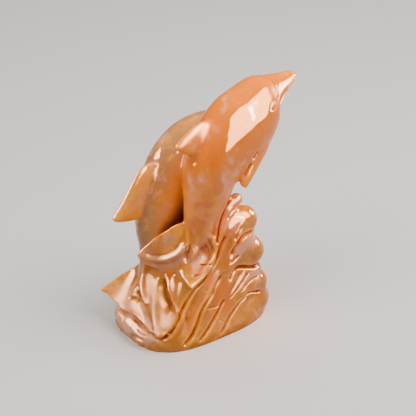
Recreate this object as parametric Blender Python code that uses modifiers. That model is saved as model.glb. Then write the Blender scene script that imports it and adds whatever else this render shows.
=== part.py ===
"""Carved stone ornament: two dolphins leap over breaking waves, cut from one block of translucent agate.

+Z is up and the carving stands on z = 0, with its origin at the middle of the flat underside.
+X is the way the dolphins leap. The leading dolphin is on the -Y side, and the following one is behind it.
"""

import math

import bmesh
import bpy
import numpy as np
from mathutils import Vector
from mathutils.bvhtree import BVHTree

# Driving sizes, in metres.
CARVING_HEIGHT = 0.102
BASE_LENGTH = 0.0624
BASE_WIDTH = 0.0450
BASE_TURN = math.radians(-1.0)
GROOVE_DEPTH = 0.0016
GROOVE_WIDTH = 0.0016

# The free forms below are drawn on a figure this many units tall, so that they keep their
# proportions: a unit is a share of the carving's own height.
DRAWN_HEIGHT = 102.0
UNIT = CARVING_HEIGHT / DRAWN_HEIGHT

# How the block is worked: the grid it is carved on, the passes that fill the hollows where
# forms meet, the passes of polish, the share of the way that each pass goes, and the facets
# that are kept.
CARVING_GRID = 0.00062
HOLLOW_PASSES = 34
HOLLOW_SHARE = 0.7
POLISH_PASSES = 3
POLISH_SHARE = 0.5
FACETS_KEPT = 9600

# Facets that meet at more than this angle keep a crisp edge.
SHARP_ANGLE = math.radians(35.0)

STONE_COLOUR = (0.80, 0.42, 0.16, 1.0)
STONE_ROUGHNESS = 0.12

# A dolphin's body from tail to beak: middle of the section x, y, z, then half its depth from
# back to belly and half its width from flank to flank, all in units. The tail end flattens.
LEADER_BODY = (
    (-9.8, -7.6, 32.4, 1.3, 3.6),
    (-6.2, -7.6, 37.0, 2.6, 5.0),
    (-2.0, -7.2, 42.6, 4.6, 5.8),
    (0.1, -7.0, 50.2, 7.4, 6.8),
    (2.1, -7.0, 56.4, 9.2, 8.2),
    (3.6, -7.0, 63.0, 10.8, 9.8),
    (5.4, -7.0, 69.8, 12.5, 11.2),
    (10.4, -7.0, 76.9, 14.0, 12.4),
    (17.0, -7.0, 82.3, 15.2, 12.8),
    (23.6, -7.0, 87.3, 14.4, 12.2),
    (29.8, -7.0, 92.6, 10.9, 10.2),
    (34.0, -7.0, 94.5, 8.0, 7.8),
    (37.8, -7.0, 95.8, 5.4, 5.8),
    (42.5, -7.0, 97.0, 3.6, 4.0),
    (46.2, -7.0, 98.0, 2.2, 2.6),
    (47.8, -7.0, 98.4, 1.0, 1.2),
)
FOLLOWER_BODY = (
    (-23.0, 4.6, 13.0, 1.4, 3.4),
    (-17.4, 6.4, 18.0, 2.8, 5.2),
    (-13.4, 8.6, 23.2, 4.6, 5.4),
    (-10.8, 9.5, 31.8, 6.6, 6.2),
    (-9.0, 10.2, 41.0, 9.4, 8.4),
    (-4.5, 11.0, 50.7, 12.4, 10.4),
    (-0.6, 12.0, 56.2, 13.7, 11.4),
    (3.9, 12.5, 62.5, 14.1, 11.8),
    (8.8, 13.0, 66.9, 13.5, 11.4),
    (14.2, 13.5, 69.5, 12.3, 10.8),
    (21.5, 14.0, 71.2, 10.2, 9.6),
    (27.5, 14.5, 71.4, 7.8, 7.6),
    (31.5, 14.8, 71.0, 5.4, 5.6),
    (37.0, 15.0, 70.2, 3.5, 3.9),
    (41.0, 15.2, 69.6, 2.1, 2.5),
    (42.4, 15.2, 69.4, 1.0, 1.2),
)

# Fins and tail flukes in sections: the front edge's point, the back edge's point, the thickness
# towards the front and towards the back, and how far the blade is dished, all in units.
LEADER_BACK_FIN = (
    ((8.0, -7.0, 88.0), (2.0, -7.0, 74.0), 3.0, 4.0, 0.0),
    ((2.0, -7.0, 91.8), (-4.0, -7.0, 77.6), 3.6, 4.8, 0.0),
    ((-4.0, -7.0, 90.6), (-7.4, -7.0, 79.8), 4.0, 4.8, 0.0),
    ((-9.0, -7.0, 87.8), (-9.8, -7.0, 81.6), 3.8, 4.0, 0.0),
    ((-12.4, -7.0, 85.2), (-12.2, -7.0, 83.2), 2.2, 2.2, 0.0),
)
FOLLOWER_BACK_FIN = (
    ((-5.0, 10.5, 69.0), (-8.0, 10.5, 46.0), 4.0, 8.0, 0.0),
    ((-14.4, 10.5, 70.4), (-15.5, 10.5, 46.6), 4.4, 6.0, 0.0),
    ((-19.6, 10.5, 66.0), (-20.0, 10.5, 47.0), 4.4, 5.0, 0.0),
    ((-24.0, 10.5, 59.6), (-24.6, 10.5, 47.9), 4.0, 4.2, 0.0),
    ((-28.2, 10.5, 54.4), (-28.2, 10.5, 49.0), 3.4, 3.4, 0.0),
    ((-30.6, 10.5, 51.8), (-30.2, 10.5, 50.0), 2.2, 2.2, 0.0),
)
LEADER_SIDE_FIN = (
    ((30.4, -11.0, 82.4), (18.0, -11.0, 80.0), 4.6, 4.6, 0.0),
    ((29.2, -14.6, 77.0), (17.4, -15.5, 76.6), 4.8, 4.6, 0.0),
    ((21.2, -17.0, 70.0), (14.4, -17.2, 72.4), 4.4, 4.2, 0.0),
    ((15.8, -17.8, 64.8), (11.8, -18.0, 67.0), 3.8, 3.8, 0.0),
    ((13.6, -18.0, 62.6), (11.4, -18.1, 64.2), 3.0, 3.0, 0.0),
)
FOLLOWER_SIDE_FIN = (
    ((21.0, 19.0, 64.0), (12.5, 19.0, 65.0), 4.6, 4.6, 0.0),
    ((20.0, 23.5, 59.8), (11.5, 23.5, 61.5), 4.4, 4.4, 0.0),
    ((15.5, 25.4, 54.5), (9.0, 25.4, 57.5), 3.8, 3.8, 0.0),
    ((10.6, 26.2, 50.0), (7.0, 26.2, 52.8), 3.4, 3.4, 0.0),
    ((8.2, 26.4, 48.0), (6.2, 26.4, 49.6), 2.6, 2.6, 0.0),
)
LEADER_FLUKES = (
    ((-14.0, -18.9, 28.2), (-14.8, -18.5, 27.7), 1.8, 1.8, 0.0),
    ((-11.0, -18.7, 28.1), (-14.8, -17.8, 27.6), 2.4, 2.8, 0.2),
    ((-5.9, -17.8, 29.2), (-14.4, -16.3, 27.9), 2.8, 3.4, 0.8),
    ((0.0, -15.8, 32.3), (-14.0, -14.1, 28.4), 3.2, 4.0, 1.5),
    ((3.1, -13.2, 36.7), (-13.7, -12.0, 28.9), 3.6, 4.2, 1.6),
    ((2.9, -10.6, 42.4), (-13.4, -9.7, 29.2), 4.6, 4.4, 0.8),
    ((-1.9, -7.6, 47.3), (-13.5, -7.4, 29.2), 5.0, 4.4, 0.2),
    ((-6.9, -4.8, 48.8), (-14.3, -4.8, 28.6), 3.4, 4.4, 0.8),
    ((-11.4, -1.4, 46.1), (-15.7, -1.4, 27.8), 2.6, 4.4, 1.4),
    ((-16.6, 2.6, 41.0), (-18.0, 2.5, 28.2), 2.2, 4.0, 1.2),
    ((-20.3, 5.6, 36.2), (-20.3, 5.5, 30.2), 2.0, 3.2, 0.4),
    ((-21.9, 6.6, 33.8), (-21.8, 6.6, 32.4), 1.6, 1.8, 0.0),
)
FOLLOWER_FLUKES = (
    ((-27.6, -15.0, 7.4), (-28.4, -13.8, 6.6), 1.8, 1.8, 0.0),
    ((-24.6, -16.2, 8.8), (-28.4, -12.4, 6.8), 2.8, 3.0, 0.3),
    ((-20.2, -15.4, 12.4), (-28.3, -9.4, 7.0), 3.2, 3.4, 0.8),
    ((-18.8, -11.6, 16.6), (-28.3, -6.0, 7.3), 3.6, 3.4, 1.0),
    ((-18.6, -6.8, 20.4), (-28.3, -2.2, 8.2), 3.8, 3.4, 1.0),
    ((-15.6, -0.6, 23.6), (-28.3, 1.6, 9.2), 4.2, 3.6, 0.8),
    ((-11.5, 7.6, 27.0), (-28.2, 5.4, 9.0), 5.0, 3.6, 0.2),
    ((-12.2, 13.6, 24.4), (-28.3, 9.0, 8.6), 3.6, 3.4, 1.0),
    ((-17.0, 17.1, 20.7), (-28.3, 12.5, 8.7), 2.8, 3.2, 1.4),
    ((-22.7, 19.0, 18.0), (-28.2, 15.5, 9.9), 2.4, 3.0, 1.2),
    ((-27.2, 20.2, 15.2), (-28.8, 18.5, 11.4), 2.0, 2.6, 0.4),
    ((-30.3, 21.0, 13.6), (-30.4, 20.6, 12.9), 1.6, 1.6, 0.0),
)

# The wave mound from below the floor up: height in units, then how far it reaches to the left,
# right, front and back as shares of half the base's length or width.
MOUND = (
    (-3.0, 0.94, 0.94, 0.94, 0.94),
    (0.0, 0.985, 0.985, 0.985, 0.97),
    (3.0, 1.01, 1.01, 1.0, 1.0),
    (6.5, 1.005, 1.0, 0.94, 0.97),
    (11.0, 0.84, 0.95, 0.865, 0.93),
    (16.0, 0.68, 0.86, 0.80, 0.87),
    (22.0, 0.58, 0.74, 0.755, 0.80),
    (28.0, 0.48, 0.72, 0.70, 0.73),
    (33.0, 0.26, 0.70, 0.655, 0.66),
    (39.0, 0.05, 0.62, 0.60, 0.60),
    (44.0, -0.06, 0.60, 0.555, 0.52),
    (50.0, -0.22, 0.46, 0.50, 0.34),
    (55.0, -0.31, 0.40, 0.46, 0.06),
    (57.0, -0.35, 0.38, 0.42, -0.10),
)
MOUND_CORNER = 2.3
FOOT_CORNER = 3.0
FOOT_TOP = 12.0

# Strands of water that sweep up and end in a curl: points along the middle and the radius there.
STRANDS = {
    "core": ((17.0, -7.0, 4.0, 9.6), (16.6, -7.5, 22.0, 9.4), (15.4, -7.9, 34.0, 9.0),
             (14.8, -8.3, 39.0, 8.8), (12.4, -8.5, 47.0, 5.6), (11.5, -9.0, 51.0, 3.4)),
    "crest": ((1.5, -12.6, 30.9, 1.8), (2.7, -12.4, 35.9, 1.8), (4.5, -12.1, 40.7, 1.9),
              (6.6, -11.7, 45.3, 1.9), (8.8, -11.4, 49.8, 2.0), (11.9, -11.2, 53.0, 2.4),
              (14.8, -11.2, 54.3, 2.6)),
    "high_curl": ((0.9, -12.5, 30.9, 2.0), (4.0, -12.5, 35.8, 2.4), (6.9, -12.2, 40.1, 2.8),
                  (10.4, -11.8, 43.2, 3.4), (14.4, -11.4, 44.8, 4.2), (18.6, -11.0, 44.6, 4.9),
                  (20.0, -10.8, 43.0, 4.9)),
    "rib": ((7.4, -14.2, 31.9, 1.5), (9.1, -14.7, 35.8, 1.5), (10.4, -14.9, 38.6, 1.4),
            (12.1, -14.7, 41.2, 1.4), (14.3, -14.2, 43.4, 1.5), (16.5, -13.4, 44.7, 1.6)),
    "middle_curl": ((4.1, -14.9, 24.7, 2.2), (7.6, -14.4, 27.9, 2.6), (11.5, -13.6, 30.1, 3.1),
                    (15.9, -12.7, 31.2, 4.2), (19.9, -12.0, 30.4, 5.6), (21.6, -11.8, 28.4, 5.9)),
    "under_tail": ((-20.7, -17.1, 11.6, 1.6), (-16.0, -14.3, 16.9, 3.2), (-13.1, -12.6, 21.0, 4.2),
                   (-10.0, -11.2, 24.8, 4.8), (-7.4, -10.0, 29.1, 4.8)),
    "trough_floor": ((-13.0, -4.0, 24.0, 3.0), (-15.5, -8.0, 19.5, 3.2), (-18.0, -12.5, 14.0, 3.2),
                     (-20.5, -14.5, 9.0, 3.0)),
    "foot_fill": ((-22.6, -15.4, 5.0, 2.8), (-20.8, -16.2, 9.6, 2.6), (-18.4, -16.6, 13.8, 2.2)),
    "panel_one": ((-18.4, -17.3, 3.2, 3.2), (-12.9, -16.2, 8.9, 3.8), (-7.8, -15.6, 14.7, 3.8),
                  (-3.4, -15.1, 20.3, 3.4), (0.1, -14.7, 24.4, 2.8), (3.8, -13.8, 28.3, 2.4),
                  (6.9, -13.2, 32.0, 2.0)),
    "panel_two": ((-13.0, -18.3, 0.9, 2.6), (-8.2, -17.3, 4.7, 3.0), (-3.5, -16.6, 9.2, 3.2),
                  (-0.2, -16.3, 13.4, 3.0), (3.6, -15.5, 17.8, 3.0), (6.5, -15.1, 21.7, 2.8),
                  (8.7, -14.8, 25.0, 2.4)),
    "panel_three": ((-6.8, -18.8, -0.9, 2.4), (-2.1, -18.1, 3.1, 2.6), (2.7, -17.3, 7.0, 2.8),
                    (6.7, -16.9, 11.0, 2.6), (10.6, -16.4, 15.5, 2.4), (14.4, -15.4, 18.9, 2.6),
                    (19.0, -14.0, 20.6, 3.2), (22.6, -12.6, 20.0, 3.4)),
    "low_curl": ((1.8, -18.4, 6.5, 2.0), (7.3, -17.4, 10.1, 2.6), (12.5, -16.1, 13.1, 3.2),
                 (17.8, -14.6, 14.4, 4.2), (22.2, -13.0, 14.3, 5.2), (23.4, -12.6, 13.4, 5.5)),
    "foot_curl": ((-1.1, -18.1, -0.2, 3.2), (7.5, -16.6, 1.3, 4.0), (16.2, -14.3, 4.4, 5.6),
                  (21.6, -12.4, 6.0, 7.0), (22.8, -12.0, 5.6, 7.2)),
    "high_lip": ((20.0, -10.8, 43.0, 4.9), (19.6, -4.5, 42.0, 4.6), (16.6, 2.0, 40.0, 4.0)),
    "middle_lip": ((21.6, -11.8, 27.8, 5.4), (22.4, -5.0, 27.4, 5.2), (20.8, 2.0, 25.6, 4.4)),
    "low_lip": ((23.4, -12.6, 13.4, 5.4), (25.0, -5.0, 12.6, 5.2), (24.4, 2.4, 11.2, 4.6)),
    "back_crest": ((4.0, 13.0, 26.0, 3.4), (8.0, 13.5, 34.0, 4.0), (12.5, 12.6, 41.0, 4.4),
                   (17.0, 11.0, 45.0, 4.6), (19.6, 9.5, 43.4, 4.0)),
    "back_curl": ((0.0, 15.5, 12.0, 4.0), (7.0, 14.5, 20.0, 5.0), (14.0, 13.0, 26.6, 6.0),
                  (19.0, 11.0, 29.0, 6.0), (22.0, 9.6, 26.4, 5.4)),
    "back_low_curl": ((2.0, 15.6, 4.0, 5.0), (10.0, 14.0, 8.0, 6.2), (17.0, 12.0, 11.6, 7.2),
                      (22.0, 10.0, 11.0, 7.2)),
}


# Lines cut into the surface (or raised from it, where the depth is negative): how wide and how
# deep beside the groove's own width and depth, then points close to the surface, in units.
LINES = (
    # Between the panels of the wave, from the foot up to the curls.
    (1.5, 1.6, ((-24.0, -16.6, 7.6), (-21.4, -18.0, 12.4), (-16.0, -16.9, 18.7), (-11.0, -16.3, 22.8),
                (-6.2, -15.4, 25.4), (-3.0, -15.5, 28.4), (1.3, -15.1, 32.2), (3.2, -14.7, 35.5),
                (4.7, -14.6, 38.6), (6.7, -14.6, 41.6))),
    (1.1, 1.3, ((-19.1, -20.1, 2.5), (-15.0, -20.2, 6.1), (-12.2, -19.8, 9.6), (-9.8, -19.4, 13.6),
                (-7.5, -19.0, 16.3), (-5.2, -18.8, 18.1), (-2.8, -18.3, 19.8), (-1.5, -18.0, 22.0),
                (0.5, -17.4, 23.8), (2.4, -16.9, 25.5))),
    (1.0, 1.0, ((-12.4, -21.4, 2.8), (-9.1, -21.1, 5.1), (-4.8, -20.2, 8.2), (-1.7, -19.6, 10.9),
                (0.6, -19.2, 13.2), (2.5, -18.8, 15.1))),
    (1.0, 1.0, ((-2.4, -22.4, 2.1), (0.6, -21.9, 4.9), (4.0, -20.8, 7.8), (7.2, -20.1, 9.6),
                (10.2, -19.6, 11.0), (13.3, -19.1, 11.9), (15.0, -18.8, 13.0), (18.4, -18.0, 12.2),
                (22.0, -17.5, 11.0))),
    (0.9, 0.9, ((5.8, -18.6, 14.6), (8.7, -18.2, 16.6), (11.6, -17.8, 18.6), (13.9, -17.5, 20.0),
                (16.4, -17.0, 21.6))),
    (1.2, 1.2, ((6.4, -17.7, 22.0), (7.8, -17.3, 24.2), (9.8, -16.7, 25.4), (12.4, -16.1, 25.6),
                (15.1, -16.6, 24.8), (18.4, -16.5, 23.5), (22.5, -14.8, 22.1))),
    (1.2, 1.2, ((8.5, -15.8, 32.1), (9.9, -15.8, 34.9), (11.9, -15.9, 37.0), (13.4, -16.0, 38.8),
                (15.7, -15.7, 39.7), (18.9, -15.0, 39.3), (22.0, -13.4, 38.8))),
    (0.9, 0.8, ((7.8, -16.5, 29.4), (10.0, -16.4, 30.4), (12.1, -16.4, 31.3))),
    (1.0, 1.2, ((8.3, -13.3, 47.8), (9.4, -13.2, 49.7), (11.1, -13.0, 50.8), (13.2, -12.3, 51.5),
                (15.4, -10.6, 52.0))),
    (0.9, 1.0, ((2.9, -13.7, 39.3), (4.0, -13.0, 43.2), (5.3, -12.6, 46.7), (6.7, -12.7, 50.4),
                (8.2, -12.8, 53.6), (10.9, -11.9, 55.5))),
    (0.9, 0.8, ((10.2, -16.1, 39.1), (11.9, -15.8, 41.6), (13.7, -15.5, 44.1))),
    # Between the follower's fluke and the wave.
    (2.0, 1.6, ((-16.6, -2.8, 25.1), (-17.6, -5.3, 22.0), (-18.4, -8.3, 19.1), (-19.3, -11.5, 16.8),
                (-20.0, -13.8, 15.6))),
    # The hollow of the leader's near fluke.
    (2.6, 0.5, ((-6.2, -11.1, 40.6), (-3.3, -12.5, 37.8), (-1.8, -13.9, 34.2))),
    # Soft ridges: the wall's left edge, the folds of the flukes, and the rim of the near lobe.
    (1.2, -0.5, ((-15.4, -3.6, 26.8), (-16.0, -5.3, 25.2), (-16.5, -7.9, 21.9), (-17.5, -11.5, 19.4),
                 (-18.7, -14.7, 18.2), (-19.6, -16.7, 15.8))),
    (1.6, -0.4, ((-21.0, 5.1, 34.3), (-18.4, 2.6, 32.6), (-15.8, -0.6, 32.5), (-13.6, -4.2, 34.1),
                 (-11.0, -7.5, 37.4), (-8.5, -8.2, 41.5))),
    (1.4, -0.4, ((0.8, -12.4, 39.5), (1.0, -13.8, 35.9), (-0.3, -15.2, 33.3), (-3.5, -15.9, 31.6),
                 (-7.6, -16.6, 30.4))),
    (1.8, -0.4, ((-17.2, 7.7, 27.3), (-18.5, 7.4, 22.3), (-22.0, 3.5, 18.5), (-24.1, -1.2, 15.4))),
    # The leader's side fin where it lies against the belly.
    (1.0, 1.2, ((18.7, -18.9, 77.5), (16.9, -18.7, 74.4), (15.4, -18.6, 72.7), (13.6, -18.5, 70.1),
                (12.0, -17.9, 67.7))),
    # Plainer grooves on the back of the wave.
    (1.3, 1.1, ((-14.0, 21.0, 3.0), (-2.0, 21.0, 6.5), (8.0, 20.0, 8.5), (16.0, 18.0, 8.0))),
    (1.3, 1.2, ((-8.0, 20.0, 7.0), (2.0, 18.0, 13.5), (12.0, 17.0, 18.5), (20.0, 14.5, 20.0),
                (26.0, 10.0, 18.5))),
    (1.2, 1.1, ((-12.0, 20.0, 11.0), (-4.0, 18.5, 18.0), (1.0, 17.5, 24.0), (5.0, 16.5, 30.0))),
    (1.3, 1.2, ((-4.0, 18.0, 17.0), (4.0, 17.0, 26.0), (12.0, 16.0, 34.0), (19.0, 13.0, 37.0),
                (24.0, 8.0, 35.5))),
)
# Lines on each dolphin's face, on both flanks: distance back from the tip of the beak in units,
# and the angle in degrees up from the flank's middle.
FACE_LINES = (
    # The crease round the root of the beak.
    (0.9, 0.7, ((16.5, 85.0), (15.8, 60.0), (15.4, 35.0), (15.6, 12.0), (17.4, -6.0))),
    # The mouth.
    (0.7, 0.7, ((2.2, -14.0), (6.0, -26.0), (9.5, -32.0), (13.5, -30.0), (16.5, -24.0))),
    # The eye, a bead raised most in its middle.
    (0.9, -1.4, ((19.2, -3.0), (20.6, 6.0))),
)
FARTHEST_SNAP = 2.0
LINE_STEP = 0.25


def smooth_rows(rows, steps):
    """Rows of numbers joined by a Catmull-Rom curve, with this many steps from each to the next."""
    rows = np.array(rows, float)
    padded = np.vstack([2 * rows[0] - rows[1], rows, 2 * rows[-1] - rows[-2]])
    found = []
    for start in range(len(rows) - 1):
        before, this, after, beyond = padded[start : start + 4]
        for step in range(steps):
            t = step / steps
            found.append(
                this
                + 0.5 * t * (after - before)
                + t * t * (before - 2.5 * this + 2 * after - 0.5 * beyond)
                + t * t * t * (-0.5 * before + 1.5 * this - 1.5 * after + 0.5 * beyond)
            )
    found.append(rows[-1])
    return np.array(found)


def loft(name, rings):
    """A closed mesh through rings of points that have the same count, with flat ends."""
    mesh = bmesh.new()
    loops = [[mesh.verts.new(Vector(point)) for point in ring] for ring in rings]
    count = len(loops[0])
    for lower, upper in zip(loops, loops[1:]):
        for i in range(count):
            j = (i + 1) % count
            mesh.faces.new((lower[i], lower[j], upper[j], upper[i]))
    mesh.faces.new(reversed(loops[0]))
    mesh.faces.new(loops[-1])
    bmesh.ops.recalc_face_normals(mesh, faces=mesh.faces)
    data = bpy.data.meshes.new(name)
    mesh.to_mesh(data)
    mesh.free()
    made = bpy.data.objects.new(name, data)
    bpy.context.scene.collection.objects.link(made)
    return made


def body_sections(rows, steps):
    """A dolphin's sections from tail to beak: middle, direction to the flank, direction to the back."""
    rows = smooth_rows(rows, steps)
    middles = rows[:, :3]
    along = np.gradient(middles, axis=0)
    along /= np.linalg.norm(along, axis=1)[:, None]
    flank = np.array((0.0, 1.0, 0.0)) - along * along[:, 1:2]
    flank /= np.linalg.norm(flank, axis=1)[:, None]
    back = np.cross(along, flank)
    return middles, flank * rows[:, 4:5], back * rows[:, 3:4]


def make_body(name, rows, around=28, steps=4):
    """A dolphin's body: oval sections square to the line from tail to beak."""
    rings = []
    for middle, flank, back in zip(*body_sections(rows, steps)):
        angles = np.linspace(0.0, 2 * math.pi, around, endpoint=False)
        ring = [middle - flank * math.cos(a) + back * math.sin(a) for a in angles]
        rings.append(np.array(ring) * UNIT)
    return loft(name, rings)


def face_lines():
    """The lines of both faces as points close to the surface, on both flanks of each dolphin."""
    found = []
    for rows in (LEADER_BODY, FOLLOWER_BODY):
        middles, flanks, backs = body_sections(rows, 8)
        gaps = np.linalg.norm(np.diff(middles, axis=0), axis=1)
        from_tip = np.concatenate([np.cumsum(gaps[::-1])[::-1], [0.0]])
        for wide, deep, line in FACE_LINES:
            for side in (-1.0, 1.0):
                points = []
                for distance, angle in line:
                    here = np.abs(from_tip - distance).argmin()
                    turn = math.radians(angle)
                    across = flanks[here] * side * math.cos(turn)
                    points.append(middles[here] + across + backs[here] * math.sin(turn))
                found.append((wide, deep, points))
    return found


def make_blade(name, sections, around=24, steps=4):
    """A fin, or a pair of tail flukes from tip to tip: oval sections dished between their edges."""
    rows = smooth_rows([(*front, *back, *rest) for front, back, *rest in sections], steps)
    span = np.gradient((rows[:, :3] + rows[:, 3:6]) / 2, axis=0)
    rings = []
    for row, outwards in zip(rows, span):
        front, back = row[:3], row[3:6]
        thick_front, thick_back, dish = row[6:]
        chord = (front - back) / 2
        normal = np.cross(chord, outwards)
        normal /= np.linalg.norm(normal)
        ring = []
        for angle in np.linspace(0.0, 2 * math.pi, around, endpoint=False):
            across, up = math.cos(angle), math.sin(angle)
            thick = (thick_front * (1 + across) + thick_back * (1 - across)) / 4
            lift = thick * up - dish * (1 - across * across)
            ring.append((front + back) / 2 + chord * across + normal * lift)
        rings.append(np.array(ring) * UNIT)
    return loft(name, rings)


def mirrored(sections, middle_y):
    """A blade's sections on the other side of a dolphin whose middle is at this y."""
    return [
        ((fx, 2 * middle_y - fy, fz), (bx, 2 * middle_y - by, bz), thick_front, thick_back, dish)
        for (fx, fy, fz), (bx, by, bz), thick_front, thick_back, dish in sections
    ]


def make_strand(name, points):
    """A strand of water: a round curve whose radius changes along it, made a closed mesh."""
    curve = bpy.data.curves.new(name, "CURVE")
    curve.dimensions = "3D"
    curve.bevel_depth = UNIT
    curve.bevel_resolution = 4
    curve.use_fill_caps = True
    rows = smooth_rows(points, 5)
    line = curve.splines.new("POLY")
    line.points.add(len(rows) - 1)
    for point, (x, y, z, radius) in zip(line.points, rows):
        point.co = (x * UNIT, y * UNIT, z * UNIT, 1.0)
        point.radius = radius
    drawn = bpy.data.objects.new(name, curve)
    bpy.context.scene.collection.objects.link(drawn)
    graph = bpy.context.evaluated_depsgraph_get()
    data = bpy.data.meshes.new_from_object(drawn.evaluated_get(graph))
    bpy.data.objects.remove(drawn)
    mesh = bmesh.new()
    mesh.from_mesh(data)
    bmesh.ops.remove_doubles(mesh, verts=mesh.verts, dist=0.00001)
    for x, y, z, radius in (points[0], points[-1]):
        ball = bmesh.ops.create_uvsphere(mesh, u_segments=16, v_segments=10, radius=radius * UNIT)
        bmesh.ops.translate(mesh, verts=ball["verts"], vec=Vector((x, y, z)) * UNIT)
    mesh.to_mesh(data)
    mesh.free()
    made = bpy.data.objects.new(name, data)
    bpy.context.scene.collection.objects.link(made)
    return made


def make_mound(around=72, steps=4):
    """The mound of water that stands on the floor, from rounded rings with four reaches each."""
    rings = []
    for height, left, right, front, back in smooth_rows(MOUND, steps):
        corner = MOUND_CORNER + (FOOT_CORNER - MOUND_CORNER) * max(0.0, 1.0 - max(height, 0.0) / FOOT_TOP)
        middle_x, half_x = (right - left) / 2, (right + left) / 2
        middle_y, half_y = (back - front) / 2, (back + front) / 2
        ring = []
        for angle in np.linspace(0.0, 2 * math.pi, around, endpoint=False):
            c, s = math.cos(angle), math.sin(angle)
            x = middle_x + math.copysign(abs(c) ** (2 / corner), c) * half_x
            y = middle_y + math.copysign(abs(s) ** (2 / corner), s) * half_y
            x, y = x * BASE_LENGTH / 2, y * BASE_WIDTH / 2
            turned_x = x * math.cos(BASE_TURN) - y * math.sin(BASE_TURN)
            turned_y = x * math.sin(BASE_TURN) + y * math.cos(BASE_TURN)
            ring.append((turned_x, turned_y, height * UNIT))
        rings.append(ring)
    return loft("mound", rings)


def rough_forms():
    """The rough shapes that run into each other in the block."""
    forms = [
        make_mound(),
        make_body("leader", LEADER_BODY),
        make_body("follower", FOLLOWER_BODY),
        make_blade("leader_back_fin", LEADER_BACK_FIN),
        make_blade("follower_back_fin", FOLLOWER_BACK_FIN),
        make_blade("leader_side_fin", LEADER_SIDE_FIN),
        make_blade("leader_hidden_fin", mirrored(LEADER_SIDE_FIN, LEADER_BODY[-1][1])),
        make_blade("follower_side_fin", FOLLOWER_SIDE_FIN),
        make_blade("leader_flukes", LEADER_FLUKES),
        make_blade("follower_flukes", FOLLOWER_FLUKES),
    ]
    forms += [make_strand(name, points) for name, points in STRANDS.items()]
    return forms


def fuse(forms):
    """One closed surface round all the rough forms."""
    joined = bmesh.new()
    for form in forms:
        joined.from_mesh(form.data)
        bpy.data.objects.remove(form)
    block = bpy.data.meshes.new("block")
    joined.to_mesh(block)
    joined.free()
    carving = bpy.data.objects.new("dolphin_carving", block)
    bpy.context.scene.collection.objects.link(carving)
    grid = carving.modifiers.new("grid", "REMESH")
    grid.mode = "VOXEL"
    grid.voxel_size = CARVING_GRID
    graph = bpy.context.evaluated_depsgraph_get()
    data = bpy.data.meshes.new_from_object(carving.evaluated_get(graph))
    carving.modifiers.clear()
    carving.data = data
    return carving


def points_of(mesh):
    """The mesh's points as rows of x, y, z."""
    flat = np.empty(len(mesh.vertices) * 3)
    mesh.vertices.foreach_get("co", flat)
    return flat.reshape(-1, 3)


def move_points(mesh, points):
    mesh.vertices.foreach_set("co", points.ravel())
    mesh.update()


def normals_of(mesh):
    """The surface's direction at each point."""
    flat = np.empty(len(mesh.vertices) * 3)
    mesh.vertices.foreach_get("normal", flat)
    return flat.reshape(-1, 3)


def polish(mesh):
    """Fills the hollows where forms meet, then evens the whole surface a little."""
    ends = np.empty(len(mesh.edges) * 2, np.int64)
    mesh.edges.foreach_get("vertices", ends)
    one, other = ends.reshape(-1, 2).T
    count = len(mesh.vertices)
    shared = np.bincount(one, minlength=count) + np.bincount(other, minlength=count)
    points = points_of(mesh)
    for turn in range(HOLLOW_PASSES + POLISH_PASSES):
        drift = np.empty_like(points)
        for axis in range(3):
            near = points[:, axis]
            total = np.bincount(one, near[other], count) + np.bincount(other, near[one], count)
            drift[:, axis] = total / shared - near
        if turn < HOLLOW_PASSES:
            move_points(mesh, points)
            normals = normals_of(mesh)
            outwards = np.maximum(0.0, (drift * normals).sum(axis=1))
            points = points + HOLLOW_SHARE * normals * outwards[:, None]
        else:
            points = points + POLISH_SHARE * drift
    move_points(mesh, points)


def cut_lines(mesh):
    """Presses each line into the surface along the surface's own direction, and fades it out at its ends."""
    points = points_of(mesh)
    tree = BVHTree.FromPolygons(points.tolist(), [tuple(face.vertices) for face in mesh.polygons])
    normals = normals_of(mesh)
    sunk = np.zeros(len(points))
    for wide, deep, line in [*LINES, *face_lines()]:
        row = smooth_rows(line, 8) * UNIT
        nearest = [tree.find_nearest(Vector(point)) for point in row]
        if max(distance for *_, distance in nearest) > FARTHEST_SNAP * UNIT:
            continue
        row = np.array([place for place, *_ in nearest])
        gone = np.concatenate([[0.0], np.cumsum(np.linalg.norm(np.diff(row, axis=0), axis=1))])
        steps = np.arange(0.0, gone[-1], LINE_STEP * UNIT)
        row = np.stack([np.interp(steps, gone, row[:, axis]) for axis in range(3)], axis=1)
        width, depth = wide * GROOVE_WIDTH, deep * GROOVE_DEPTH
        fade = np.minimum(1.0, np.minimum(steps + width / 3, gone[-1] - steps + width / 3) / (2 * width))
        low, high = row.min(axis=0) - width, row.max(axis=0) + width
        for near in np.flatnonzero(((points > low) & (points < high)).all(axis=1)):
            away = np.linalg.norm(row - points[near], axis=1)
            nearest = away.argmin()
            if away[nearest] < width:
                press = depth * fade[nearest] * (0.5 + 0.5 * math.cos(math.pi * away[nearest] / width))
                sunk[near] = press if abs(press) > abs(sunk[near]) else sunk[near]
    move_points(mesh, points - normals * sunk[:, None])


def cut_flat(carving):
    """Cuts the carving off at the floor, so that it stands on a flat underside."""
    mesh = bmesh.new()
    mesh.from_mesh(carving.data)
    everything = mesh.verts[:] + mesh.edges[:] + mesh.faces[:]
    cut = bmesh.ops.bisect_plane(
        mesh, geom=everything, plane_co=(0, 0, 0), plane_no=(0, 0, -1), clear_outer=True
    )
    rim = [edge for edge in cut["geom_cut"] if isinstance(edge, bmesh.types.BMEdge)]
    bmesh.ops.contextual_create(mesh, geom=rim)
    bmesh.ops.triangulate(mesh, faces=[face for face in mesh.faces if len(face.verts) > 4])
    bmesh.ops.recalc_face_normals(mesh, faces=mesh.faces)
    mesh.to_mesh(carving.data)
    mesh.free()


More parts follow.
